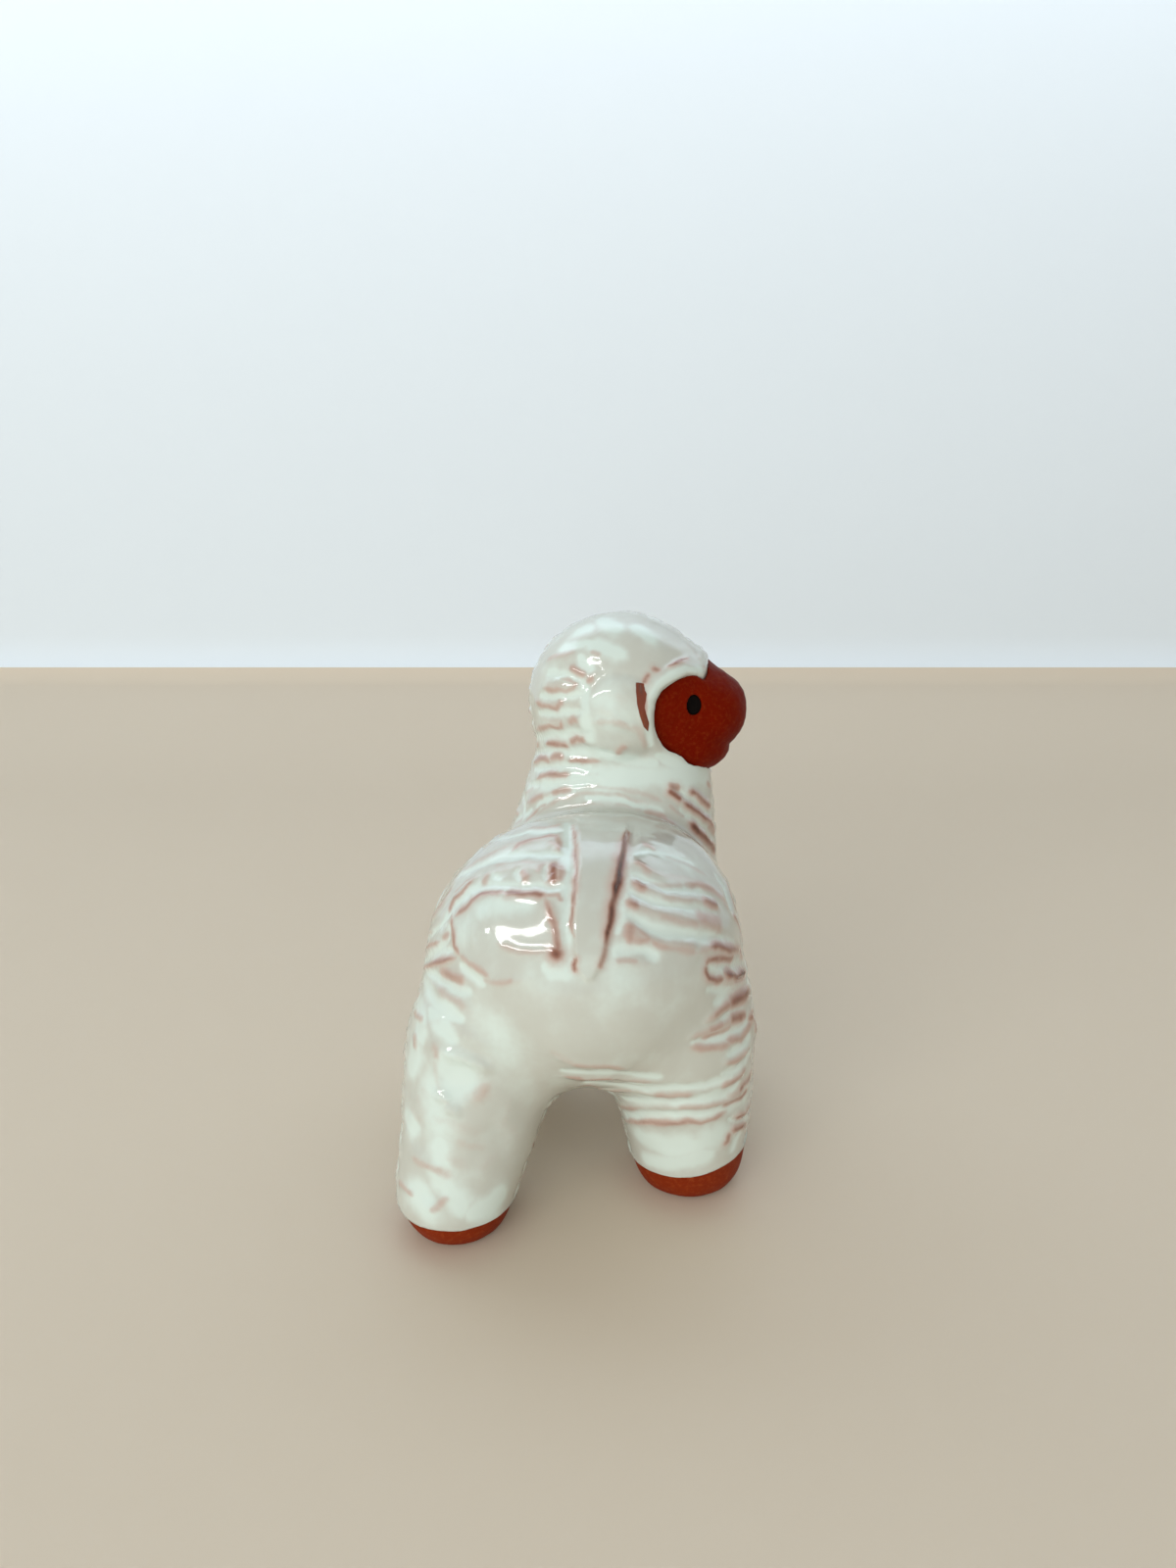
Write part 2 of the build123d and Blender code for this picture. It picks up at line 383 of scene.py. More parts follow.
def make(name, v, f, mats, attrs=None, node=None, mat_index=None):
    """A smooth-shaded mesh object from sculpting-frame points."""
    me = bpy.data.meshes.new(name)
    me.vertices.add(len(v))
    me.vertices.foreach_set("co", ((v + SHIFT) * MM).astype(F).ravel())
    me.loops.add(3 * len(f))
    me.loops.foreach_set("vertex_index", f.astype(np.int32).ravel())
    me.polygons.add(len(f))
    me.polygons.foreach_set("loop_start", np.arange(0, 3 * len(f), 3, dtype=np.int32))
    me.polygons.foreach_set("use_smooth", np.ones(len(f), bool))
    for m in mats:
        me.materials.append(m)
    if mat_index is not None:
        me.polygons.foreach_set("material_index", mat_index.astype(np.int32))
    for k, a in (attrs or {}).items():
        me.attributes.new(k, "FLOAT", "POINT").data.foreach_set("value", np.asarray(a, F))
    me.update()
    me.validate()
    ob = bpy.data.objects.new(name, me)
    bpy.context.scene.collection.objects.link(ob)
    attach(ob, "root")
    if node:
        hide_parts(*([node] if isinstance(node, str) else node))
    return ob


# ------------------------------------------------------------------ carved wool: crest lines, as seen in the photo
# (how brown, width in px, points in the 1200 x 1600 frame)
WOOL = [
    # tail edges; the right edge is the darkest line, its brown partly the clay showing in the crack and partly painted
    # shadow in the groove
    (0.75, 3.0, [(585, 842), (587, 860), (589, 880), (589, 888), (587, 905), (585, 920), (584, 940), (583, 950), (585, 956)]),
    (0.8, 4.0, [(588, 978), (586, 985), (587, 992)]),
    (1.2, 5.5, [(641, 849), (638, 858), (636, 868), (633, 885), (630, 900), (626, 920), (622, 940), (620, 950), (618, 965)]),
    (0.65, 3.4, [(618, 965), (615, 978), (612, 988)]),
    # rump, left of the tail
    (0.38, 4.5, [(540, 846), (556, 846), (566, 845), (573, 842)]),
    (0.62, 3.9, [(522, 868), (530, 862), (545, 857), (560, 853), (567, 853), (570, 860), (571, 868)]),
    (0.28, 5.2, [(470, 890), (485, 880), (500, 872), (512, 867), (522, 864)]),
    (0.28, 4.5, [(500, 884), (525, 880), (540, 879), (556, 880), (563, 880)]),
    (0.81, 6.5, [(566, 882), (565, 890), (564, 900)]),
    (0.43, 6.5, [(572, 884), (573, 892), (571, 899)]),
    (0.33, 6.5, [(553, 882), (549, 890)]),
    (0.47, 5.9, [(533, 890), (537, 897)]),
    (0.33, 6.5, [(497, 893), (493, 902)]),
    (0.66, 3.4, [(458, 931), (460, 925), (465, 917), (472, 911), (478, 903), (484, 898)]),
    (0.43, 2.9, [(463, 913), (469, 906), (476, 899), (484, 896)]),
    (0.81, 4.4, [(465, 934), (470, 930), (476, 926), (482, 919), (490, 913), (500, 911), (515, 910)]),
    (0.9, 4.9, [(515, 910), (535, 912), (545, 912), (558, 914)]),
    (0.47, 3.9, [(558, 914), (570, 914), (573, 921)]),
    (0.71, 4.7, [(557, 916), (559, 925), (562, 935), (566, 942), (567, 952), (569, 965), (568, 975)]),
    (0.9, 7.2, [(566, 972), (569, 974)]),
    # painted shade along the panel's lower edge, under the bulge
    (0.28, 5.2, [(568, 974), (550, 972), (530, 970), (515, 966), (505, 962)]),
    (0.71, 3.6, [(461, 935), (461, 945), (463, 955), (463, 965), (468, 974)]),
    (0.38, 3.9, [(468, 974), (478, 983), (490, 990), (500, 997)]),
    (0.76, 3.4, [(441, 937), (446, 930), (452, 922), (458, 912), (461, 907)]),
    (0.57, 2.9, [(436, 947), (441, 939), (447, 931)]),
    (0.43, 3.4, [(431, 956), (437, 952), (443, 950)]),
    (0.57, 3.9, [(429, 978), (434, 971), (441, 965), (450, 960)]),
    (0.47, 5.2, [(453, 956), (456, 952)]),
    (0.66, 4.4, [(430, 990), (440, 985), (448, 981), (458, 978), (464, 978)]),
    (0.47, 7.2, [(449, 990), (458, 995), (468, 999), (472, 1002)]),
    (0.66, 3.9, [(430, 990), (427, 996), (428, 1003)]),
    (0.57, 3.9, [(428, 1013), (426, 1018)]),
    (0.28, 6.5, [(446, 1008), (456, 1016), (466, 1022), (475, 1028)]),
    (0.28, 5.2, [(492, 1000), (508, 1003), (525, 1000)]),
    # left hip and leg
    (0.35, 5.1, [(421, 1033), (428, 1037), (432, 1042)]),
    (0.35, 6.8, [(424, 1057), (424, 1068)]),
    (0.28, 6.8, [(443, 1066), (447, 1070), (446, 1078)]),
    (0.17, 5.1, [(444, 1078), (444, 1092), (446, 1108), (452, 1120), (460, 1131)]),
    (0.15, 6.8, [(462, 1045), (470, 1052), (482, 1055)]),
    (0.14, 8.5, [(470, 1020), (480, 1035), (479, 1042)]),
    (0.28, 9.3, [(497, 1108), (492, 1116), (486, 1122)]),
    (0.29, 5.8, [(420, 1180), (428, 1186), (437, 1190), (450, 1196), (462, 1200)]),
    (0.35, 5.1, [(407, 1205), (413, 1212), (422, 1220)]),
    (0.35, 5.8, [(439, 1238), (446, 1232), (452, 1226), (456, 1222)]),
    (0.17, 8.5, [(468, 1165), (480, 1170), (495, 1172)]),
    (0.15, 6.8, [(430, 1110), (440, 1120)]),
    (0.14, 6.8, [(418, 1128), (424, 1140), (434, 1146)]),
    (0.15, 8.5, [(524, 1150), (530, 1163)]),
    (0.21, 6.8, [(562, 1072), (572, 1075), (580, 1080), (590, 1086)]),
    # between and above the hind legs
    (0.33, 5.2, [(582, 1084), (600, 1086), (620, 1087), (640, 1090)]),
    (0.47, 4.5, [(575, 1098), (590, 1099), (597, 1102), (612, 1101), (625, 1100)]),
    (0.28, 5.1, [(640, 1101), (655, 1102), (665, 1103)]),
    (0.43, 4.5, [(590, 1110), (600, 1108), (610, 1110), (618, 1115), (628, 1124), (634, 1129), (645, 1130), (655, 1129)]),
    (0.33, 5.2, [(620, 1113), (632, 1111), (645, 1112)]),
    (0.4, 7.5, [(668, 1116), (680, 1118), (690, 1115), (705, 1116)]),
    (0.33, 6.0, [(690, 1130), (710, 1130), (730, 1128), (742, 1122)]),
    (0.57, 4.5, [(638, 1143), (650, 1144), (665, 1144), (680, 1145), (692, 1146), (702, 1143), (715, 1145), (730, 1141), (742, 1135)]),
    # right flank
    (0.43, 5.4, [(705, 1068), (720, 1070), (735, 1069), (745, 1065)]),
    (0.47, 6.0, [(716, 1060), (728, 1056), (740, 1052), (748, 1047)]),
    (0.52, 6.8, [(724, 1051), (738, 1045)]),
    (0.9, 7.5, [(748, 1040), (757, 1038)]),
    (0.57, 5.1, [(742, 1062), (750, 1060), (757, 1060), (762, 1052), (766, 1042)]),
    (0.43, 5.4, [(740, 1085), (750, 1082), (758, 1078), (765, 1070)]),
    (0.47, 5.4, [(735, 1108), (745, 1104), (755, 1098), (760, 1088)]),
    (0.81, 5.4, [(755, 1111), (759, 1106), (763, 1102), (767, 1096)]),
    (0.33, 5.2, [(742, 1119), (755, 1112)]),
    (0.71, 5.1, [(738, 1128), (748, 1125), (757, 1120), (762, 1112)]),
    (0.81, 5.1, [(751, 1141), (758, 1138), (763, 1132), (765, 1124)]),
    (0.76, 5.1, [(748, 1153), (756, 1150), (761, 1149)]),
    (0.76, 4.5, [(739, 1168), (742, 1165), (744, 1158)]),
    (0.57, 4.5, [(767, 1030), (769, 1042), (770, 1054)]),
    # rump and back, right of the tail
    (0.47, 5.0, [(657, 861), (663, 864), (668, 867)]),
    (0.38, 7.0, [(649, 880), (655, 883), (662, 890)]),
    (0.62, 7.7, [(650, 901), (655, 905)]),
    (0.71, 7.7, [(643, 920), (648, 923)]),
    (0.21, 5.6, [(648, 919), (660, 922), (672, 927)]),
    (0.57, 7.0, [(643, 946), (641, 955), (643, 961)]),
    (0.38, 5.6, [(643, 961), (655, 960), (664, 958)]),
    (0.33, 4.9, [(644, 945), (654, 951), (664, 959)]),
    (0.38, 5.6, [(664, 960), (672, 966), (685, 968), (700, 970), (712, 973)]),
    (0.33, 5.6, [(630, 979), (640, 980), (650, 981)]),
    (0.24, 5.6, [(676, 872), (700, 880), (722, 894)]),
    (0.47, 5.6, [(700, 903), (715, 902), (725, 907), (735, 914), (740, 920)]),
    (0.28, 5.6, [(662, 902), (680, 903), (700, 903)]),
    (0.66, 7.0, [(718, 919), (725, 922), (731, 923)]),
    (0.24, 5.6, [(672, 914), (690, 918), (718, 919)]),
    (0.57, 4.2, [(740, 900), (744, 910), (748, 922), (752, 932)]),
    # painted shade: a wide brown band on the rump right of the tail
    (0.47, 9.8, [(712, 936), (722, 937), (732, 939), (734, 945), (731, 950)]),
    (0.28, 7.0, [(672, 935), (695, 941), (715, 944)]),
    (0.81, 5.0, [(748, 934), (752, 940), (756, 950), (757, 961)]),
    (0.76, 7.0, [(724, 966), (730, 965), (738, 968), (747, 968), (754, 970), (757, 977)]),
    (0.85, 4.8, [(720, 986), (722, 980), (728, 978), (735, 979), (745, 979), (748, 975)]),
    (0.81, 4.5, [(720, 986), (720, 992), (723, 998), (730, 1000), (738, 998)]),
    (0.95, 7.7, [(739, 993), (745, 995), (750, 998), (757, 993), (759, 990)]),
    (0.81, 8.4, [(745, 1023), (752, 1020), (758, 1016), (763, 1010)]),
    (0.57, 6.3, [(728, 1036), (736, 1030), (745, 1023)]),
    (0.76, 6.3, [(750, 1038), (760, 1036)]),
    (0.76, 4.8, [(764, 1040), (767, 1030)]),
    # neck
    (0.9, 7.0, [(703, 840), (712, 848), (720, 856), (727, 865), (730, 871)]),
    (0.63, 4.8, [(723, 842), (728, 849)]),
    (0.81, 5.0, [(697, 819), (705, 824), (715, 831), (723, 838), (728, 847)]),
    (0.72, 4.2, [(702, 806), (710, 811), (717, 818), (724, 823)]),
    (0.81, 5.6, [(681, 808), (688, 811), (694, 816)]),
    (0.59, 6.3, [(683, 803), (692, 804)]),
    (0.45, 4.2, [(721, 799), (724, 803)]),
    (0.32, 4.2, [(682, 822), (690, 828), (700, 834)]),
    (0.41, 5.6, [(655, 829), (665, 830), (675, 833), (683, 839), (690, 843)]),
    (0.27, 4.2, [(590, 805), (610, 803), (630, 805), (650, 808), (670, 815), (680, 820)]),
    (0.3, 4.2, [(545, 835), (555, 825), (570, 815), (590, 811), (610, 809), (630, 811), (650, 817), (668, 823)]),
    (0.27, 4.2, [(575, 827), (585, 823), (600, 820), (620, 819), (640, 822), (658, 829)]),
    (0.41, 4.8, [(563, 810), (572, 807), (583, 806)]),
    (0.41, 5.6, [(540, 818), (548, 815), (556, 813)]),
    (0.4, 4.0, [(525, 827), (529, 831)]), (0.35, 3.6, [(537, 819), (546, 815)]), (0.3, 4.0, [(526, 840), (533, 836)]), (0.3, 4.0, [(536, 808), (543, 805)]),
    (0.42, 2.8, [(536, 839), (541, 834), (546, 829), (552, 823), (560, 820)]),
    # back of the head
    (0.28, 4.7, [(558, 674), (566, 670), (575, 668), (587, 665)]),
    (0.47, 5.4, [(582, 680), (590, 685), (597, 689)]),
    (0.33, 4.6, [(604, 666), (612, 668)]),
    (0.47, 5.4, [(600, 695), (604, 692)]),
    (0.43, 4.1, [(554, 702), (562, 705), (570, 704), (578, 706), (585, 703), (588, 698), (582, 694), (572, 693)]),
    (0.52, 4.1, [(547, 716), (553, 719), (560, 720), (568, 723), (573, 718), (570, 715)]),
    (0.52, 4.1, [(547, 745), (555, 742), (562, 741), (568, 743), (573, 742), (573, 735)]),
    (0.24, 4.1, [(550, 733), (560, 735), (572, 734)]),
    (0.43, 6.8, [(582, 738), (584, 732), (588, 736)]),
    (0.57, 4.3, [(582, 757), (588, 753), (597, 756)]),
    (0.66, 4.3, [(557, 759), (567, 759), (580, 761)]),
    (0.47, 5.4, [(546, 761), (550, 759)]),
    (0.57, 4.6, [(545, 777), (550, 774), (557, 774), (562, 777)]),
    (0.57, 5.4, [(562, 773), (570, 771), (574, 773)]),
    (0.57, 3.5, [(579, 776), (590, 775), (600, 776), (612, 777)]),
    (0.57, 4.3, [(548, 794), (555, 791), (562, 789), (572, 791), (582, 790)]),
    (0.19, 4.1, [(585, 789), (600, 791), (612, 791)]),
    (0.47, 4.1, [(629, 771), (633, 766), (638, 762)]),
    (0.28, 4.1, [(630, 736), (640, 740)]),
    # creases over the fringe
    (0.75, 4.0, [(657, 697), (660, 690), (663, 687)]),
    (0.75, 4.5, [(667, 682), (672, 684)]),
    (0.85, 3.2, [(681, 681), (690, 678), (696, 674), (702, 671)]),
    (0.4, 3.6, [(716, 680), (721, 683)]),
    (0.2, 4.0, [(700, 658), (708, 664), (712, 672)]),
]
# low plateaus between the gouges, where the glaze lies thinly: wide and faint; their pink and brown is partly the
# thinner glaze and partly painted shade along the relief
SOFT = [
    # left of the tail
    (0.26, 9, [(500, 866), (520, 862), (545, 858), (565, 857)]), (0.24, 13, [(500, 890), (520, 886), (540, 886), (556, 888)]),
    (0.42, 9, [(560, 858), (568, 862), (570, 868)]), (0.5, 12, [(563, 884), (570, 890), (568, 897)]),
    (0.3, 9, [(548, 882), (551, 892)]), (0.36, 8, [(532, 888), (537, 896)]), (0.3, 8, [(492, 900), (497, 892)]),
    (0.2, 10, [(485, 878), (505, 868), (520, 863)]), (0.36, 7, [(462, 920), (470, 910), (480, 900), (487, 895)]),
    (0.16, 6, [(480, 932), (481, 965)]), (0.14, 6, [(492, 930), (495, 958)]), (0.13, 6, [(470, 940), (472, 965)]),
    # the first stroke on the next line is painted shade along the panel's lower edge, under the bulge
    (0.26, 9, [(510, 966), (530, 971), (550, 973), (567, 973)]), (0.2, 8, [(508, 914), (530, 916), (550, 918)]),
    (0.36, 9, [(562, 925), (566, 940)]), (0.2, 9, [(470, 976), (485, 988), (500, 998)]),
    (0.42, 7, [(442, 940), (450, 927), (458, 914)]), (0.36, 6, [(432, 958), (440, 951)]), (0.4, 7, [(430, 977), (440, 968), (450, 961)]),
    (0.42, 7, [(433, 989), (445, 984), (460, 979)]), (0.45, 9, [(455, 992), (465, 997), (471, 1001)]),
    (0.25, 11, [(447, 1011), (460, 1018), (475, 1027)]), (0.2, 10, [(500, 1001), (520, 1003), (545, 1000)]),
    # right of the tail
    (0.2, 12, [(650, 853), (670, 858), (690, 866), (706, 877)]), (0.28, 12, [(652, 881), (664, 887), (680, 894), (700, 896), (722, 903)]),
    (0.42, 8, [(650, 880), (657, 884)]), (0.28, 9, [(650, 902), (665, 909), (685, 915), (705, 918), (726, 923)]),
    (0.5, 8, [(651, 901), (658, 905)]), (0.5, 9, [(644, 921), (650, 924)]),
    (0.34, 12, [(648, 923), (665, 931), (690, 938), (712, 942), (732, 946)]), (0.5, 13, [(718, 941), (731, 946)]),
    (0.36, 9, [(643, 946), (650, 953), (664, 960), (690, 963), (712, 967)]), (0.42, 12, [(644, 955), (655, 958)]),
    (0.36, 10, [(712, 899), (725, 906), (737, 918), (744, 930)]), (0.5, 9, [(720, 919), (731, 924)]),
    (0.45, 10, [(712, 972), (724, 966), (738, 968), (752, 971)]), (0.22, 9, [(628, 982), (645, 983), (665, 984)]),
    (0.5, 11, [(722, 1042), (733, 1032), (744, 1024), (756, 1017), (764, 1009)]),
    (0.45, 10, [(705, 1058), (722, 1053), (736, 1047), (748, 1040)]), (0.7, 7, [(740, 995), (749, 997), (758, 992)]),
    (0.4, 9, [(735, 1003), (748, 1004), (760, 1002)]),
    # flank and hind leg on the right
    (0.36, 9, [(708, 1069), (725, 1069), (742, 1064), (755, 1058)]), (0.4, 8, [(740, 1083), (752, 1080), (762, 1070)]),
    (0.42, 8, [(737, 1107), (748, 1102), (758, 1093)]), (0.4, 8, [(728, 1127), (742, 1123), (756, 1114)]),
    (0.5, 7, [(748, 1141), (758, 1136), (764, 1126)]), (0.5, 7, [(748, 1153), (758, 1149)]), (0.55, 7, [(764, 1034), (769, 1046), (771, 1056)]),
    (0.26, 9, [(570, 1078), (590, 1085), (615, 1087), (640, 1089)]), (0.28, 7, [(580, 1099), (605, 1101), (630, 1100), (665, 1103)]),
    (0.28, 8, [(610, 1111), (632, 1112), (650, 1113), (680, 1117), (710, 1116)]), (0.26, 8, [(630, 1128), (660, 1130), (700, 1130), (735, 1127)]),
    (0.3, 6, [(640, 1144), (670, 1146), (700, 1145), (735, 1139)]),
    # left leg
    (0.24, 10, [(420, 1180), (432, 1187), (448, 1194)]), (0.3, 9, [(408, 1207), (420, 1219)]), (0.3, 10, [(441, 1236), (455, 1223)]),
    (0.22, 16, [(440, 1140), (470, 1150), (495, 1155)]), (0.2, 13, [(425, 1120), (432, 1135)]), (0.22, 15, [(455, 1180), (475, 1190)]),
    (0.2, 15, [(490, 1195), (505, 1180)]), (0.2, 12, [(432, 1048), (450, 1042)]), (0.2, 12, [(520, 1120), (515, 1150)]),
    (0.26, 11, [(488, 1120), (496, 1109)]), (0.15, 16, [(470, 1165), (490, 1165)]), (0.14, 16, [(470, 1190), (480, 1200)]),
    (0.3, 8, [(423, 1055), (425, 1066)]), (0.26, 8, [(443, 1066), (446, 1080)]), (0.3, 7, [(424, 1034), (432, 1041)]),
    # neck and head
    (0.5, 9, [(704, 841), (713, 849), (722, 858), (729, 868)]), (0.45, 8, [(690, 812), (703, 822), (716, 831), (728, 845)]),
    (0.42, 7, [(702, 806), (713, 813), (724, 823)]), (0.4, 8, [(682, 806), (692, 812)]), (0.2, 8, [(660, 829), (676, 834), (690, 842)]),
    (0.3, 8, [(526, 824), (529, 833)]), (0.26, 8, [(532, 812), (537, 822)]), (0.3, 9, [(540, 817), (556, 812), (575, 807)]), (0.34, 9, [(548, 793), (562, 790), (580, 790)]), (0.34, 8, [(545, 776), (560, 774), (574, 773)]),
    (0.3, 7, [(580, 776), (600, 776)]), (0.32, 8, [(556, 759), (580, 760)]), (0.3, 8, [(584, 755), (596, 755)]),
    (0.32, 10, [(548, 744), (562, 740), (573, 738)]), (0.3, 10, [(582, 735), (587, 736)]), (0.32, 9, [(547, 717), (560, 720), (572, 718)]),
    (0.28, 13, [(556, 700), (572, 700), (586, 700)]), (0.22, 11, [(558, 674), (572, 670), (586, 668)]), (0.34, 8, [(583, 681), (596, 689)]),
    (0.22, 8, [(601, 692), (608, 686)]), (0.2, 9, [(602, 667), (614, 669)]), (0.12, 18, [(640, 650), (655, 655)]),
    # on the next line, the strokes from (606, 738) and (646, 740) along the ear's lower edge are painted shade in the
    # crease under the ear
    (0.12, 15, [(615, 715), (640, 725)]), (0.34, 9, [(606, 738), (625, 737), (640, 742), (655, 750)]), (0.2, 16, [(620, 705), (640, 715)]), (0.2, 13, [(612, 722), (630, 735)]), (0.42, 10, [(646, 740), (655, 751), (660, 764)]),
    (0.22, 8, [(630, 770), (638, 763)]), (0.2, 12, [(700, 658), (709, 665), (713, 674)]), (0.36, 7, [(682, 681), (698, 674)]),
]
# wide areas where the glaze lies thick without a gouge: (how thick, radius in px, points)
BROAD = [(0.55, 26, [(498, 1045), (520, 1075)]), (0.75, 15, [(492, 928), (510, 922), (535, 924)]), (0.5, 24, [(616, 712), (630, 730)]),
         (0.8, 20, [(440, 1108), (446, 1150)]), (0.4, 20, [(700, 880), (680, 870)]), (0.45, 16, [(560, 690), (556, 760)]),
         (0.5, 18, [(470, 955), (480, 940)]), (0.35, 30, [(560, 1000), (640, 1000)])]
# shallow dents pressed in with a finger: (px, radius in px, depth in mm)
DENTS = [((468, 1101), 25, 0.5), ((428, 1158), 20, 0.3), ((440, 1215), 17, 0.25), ((500, 1165), 26, 0.25), ((690, 1165), 22, 0.2)]
# rounded swells: (height in mm, half width in px, points)
SWELLS = [(0.56, 6.5, [(455, 1074), (475, 1081), (498, 1091)]),
          (0.5, 6, [(446, 1117), (455, 1121)]), (0.5, 6, [(456, 1130), (466, 1134)]), (0.2, 7, [(470, 1056), (485, 1062), (500, 1069)])]
# gouges that the white glaze has filled: (half width in px, depth of the gouge in mm, points)
POOLS = [
    (6, 0.2, [(580, 842), (578, 870), (577, 900), (579, 930), (577, 960), (575, 985)]),
    (4, 0.2, [(500, 858), (520, 855), (540, 850), (560, 849), (578, 848)]),
    (6, 0.3, [(470, 893), (485, 885), (500, 878), (520, 873), (540, 871), (560, 871), (576, 873)]),
    (6, 0.35, [(478, 909), (490, 905), (505, 903), (525, 904), (545, 904), (565, 905), (577, 906)]),
    (4, 0.2, [(528, 888), (530, 898)]), (4, 0.2, [(557, 885), (557, 898)]), (4, 0.2, [(503, 893), (508, 900)]),
    (5, 0.3, [(447, 950), (455, 937), (463, 925), (472, 917), (482, 909)]),
    (5, 0.25, [(432, 965), (440, 955), (448, 947), (455, 942)]),
    (5, 0.3, [(443, 974), (452, 965), (457, 955), (458, 945)]),
    (5, 0.25, [(430, 985), (440, 977), (450, 970), (460, 969)]),
    (6, 0.3, [(438, 992), (448, 1000), (460, 1008), (476, 1012)]),
    (5, 0.2, [(470, 986), (480, 995), (492, 1003)]),
    (9, 0.1, [(556, 985), (563, 994), (575, 994), (582, 984)]),
    (7, 0.2, [(434, 1000), (438, 1015), (446, 1025), (456, 1032), (470, 1040)]),
    (9, 0.0, [(425, 1022), (430, 1040), (432, 1062)]),
    # right of the tail
    (5, 0.2, [(650, 871), (662, 868), (676, 872), (690, 875), (706, 881)]),
    (5, 0.25, [(645, 893), (655, 896), (668, 902), (680, 908), (695, 909), (712, 909), (726, 916)]),
    (5, 0.3, [(643, 909), (655, 915), (668, 921), (685, 924), (702, 927), (716, 929), (730, 931)]),
    (6, 0.3, [(643, 932), (652, 938), (665, 946), (680, 951), (700, 954), (720, 956), (735, 957), (748, 961)]),
    (7, 0.25, [(630, 970), (645, 969), (658, 970), (668, 976)]),
    (5, 0.4, [(757, 984), (745, 986), (732, 984), (725, 988), (727, 993), (735, 991)]),
    (5, 0.3, [(722, 1009), (740, 1008), (755, 1004), (762, 1000)]),
    (4, 0.25, [(730, 893), (738, 905), (744, 920), (747, 930)]),
    (5, 0.1, [(640, 870), (638, 900), (634, 930), (630, 950)]),
    (5, 0.25, [(730, 1022), (742, 1014), (755, 1010)]), (4, 0.25, [(738, 1040), (746, 1032), (757, 1027)]),
    # over the hind legs and up the right flank
    (5, 0.25, [(575, 1091), (600, 1094), (625, 1094), (650, 1096), (672, 1098)]),
    (5, 0.25, [(600, 1105), (620, 1106), (640, 1107), (660, 1109), (690, 1109), (720, 1107), (745, 1097)]),
    (6, 0.25, [(638, 1120), (660, 1122), (690, 1123), (720, 1121), (740, 1115), (752, 1106)]),
    (6, 0.25, [(640, 1137), (665, 1137), (700, 1136), (725, 1135), (745, 1130), (758, 1122)]),
    (15, 0.0, [(655, 1160), (680, 1172), (710, 1170), (735, 1156)]),
    (9, 0.0, [(660, 1184), (690, 1188), (725, 1178)]),
    (5, 0.3, [(708, 1064), (730, 1061), (745, 1056), (757, 1048), (763, 1041)]),
    (5, 0.3, [(745, 1074), (757, 1068), (764, 1058)]), (5, 0.3, [(738, 1095), (750, 1091), (760, 1083), (765, 1072)]),
    (4, 0.3, [(745, 1143), (755, 1143), (762, 1139)]), (6, 0.2, [(748, 1172), (752, 1162), (755, 1156)]),
    # left leg
    (12, 0.0, [(426, 1072), (421, 1092)]), (11, 0.0, [(415, 1138), (422, 1152)]), (13, 0.0, [(424, 1214), (438, 1236)]),
    (15, 0.0, [(456, 1086), (470, 1100), (462, 1112)]), (12, 0.0, [(448, 1164), (452, 1208), (470, 1235)]),
    (11, 0.0, [(482, 1240), (500, 1234), (512, 1218)]),
    (9, 0.1, [(440, 1030), (450, 1045), (462, 1060)]),
    # neck and head
    (4, 0.25, [(533, 813), (536, 820), (534, 828)]), (4, 0.2, [(527, 836), (534, 833), (542, 826)]), (4, 0.2, [(538, 803), (550, 800)]),
    (10, 0.0, [(556, 799), (600, 795), (650, 792), (700, 793), (720, 790)]),
    (5, 0.3, [(546, 752), (575, 750), (600, 748)]), (5, 0.3, [(546, 768), (570, 766), (600, 767), (630, 772)]),
    (5, 0.3, [(546, 784), (570, 782), (600, 783)]), (5, 0.3, [(550, 727), (575, 727), (595, 725)]),
    (5, 0.3, [(552, 710), (575, 711), (595, 708)]), (5, 0.3, [(560, 686), (580, 690), (592, 692), (598, 702)]),
    (6, 0.12, [(592, 670), (597, 678), (603, 684)]), (9, 0.0, [(604, 657), (620, 663), (634, 668)]),
    (6, 0.05, [(575, 661), (600, 655)]), (9, 0.0, [(614, 632), (628, 640)]), (8, 0.0, [(650, 640), (664, 652)]), (8, 0.0, [(590, 645), (600, 640)]), (8, 0.1, [(597, 702), (595, 730), (598, 752)]),
    (5, 0.0, [(664, 760), (663, 735), (664, 715), (672, 700), (685, 690), (700, 682), (714, 684)]),
    (6, 0.0, [(672, 772), (685, 777), (697, 783), (712, 788)]), (7, 0.1, [(600, 768), (640, 776), (668, 780)]),
    (4, 0.2, [(560, 803), (580, 801), (610, 799)]), (4, 0.2, [(550, 822), (565, 812), (585, 808)]),
    (4, 0.3, [(690, 806), (700, 813), (712, 822), (724, 832)]), (4, 0.3, [(695, 828), (708, 836), (720, 846), (728, 857)]),
    (4, 0.2, [(600, 815), (630, 816), (655, 822), (675, 829)]),
]
# the ear's front edge, where the clay shows
EAR_EDGE = [(649, 696), (657, 697), (658, 704), (660, 708), (659, 716), (658, 722), (660, 729), (663, 738), (662, 747),
            (657, 742), (653, 731), (650, 718), (649, 706)]
# tail strip on the rump
TAIL = [(586, 834), (588, 860), (590, 885), (587, 905), (585, 925), (583, 950), (586, 975), (588, 990), (597, 1003),
        (606, 1001), (612, 990), (616, 978), (620, 958), (623, 940), (627, 918), (631, 898), (634, 880), (637, 866),
        (641, 849), (644, 834)]


def rays(px):
    px = np.array(px, float)
    d = FWD + np.array([1.0, 0, 0]) * ((px[:, :1] - CX) / FOCAL) - UPV * ((px[:, 1:] - CY) / FOCAL)
    return d / np.linalg.norm(d, axis=1, keepdims=True)


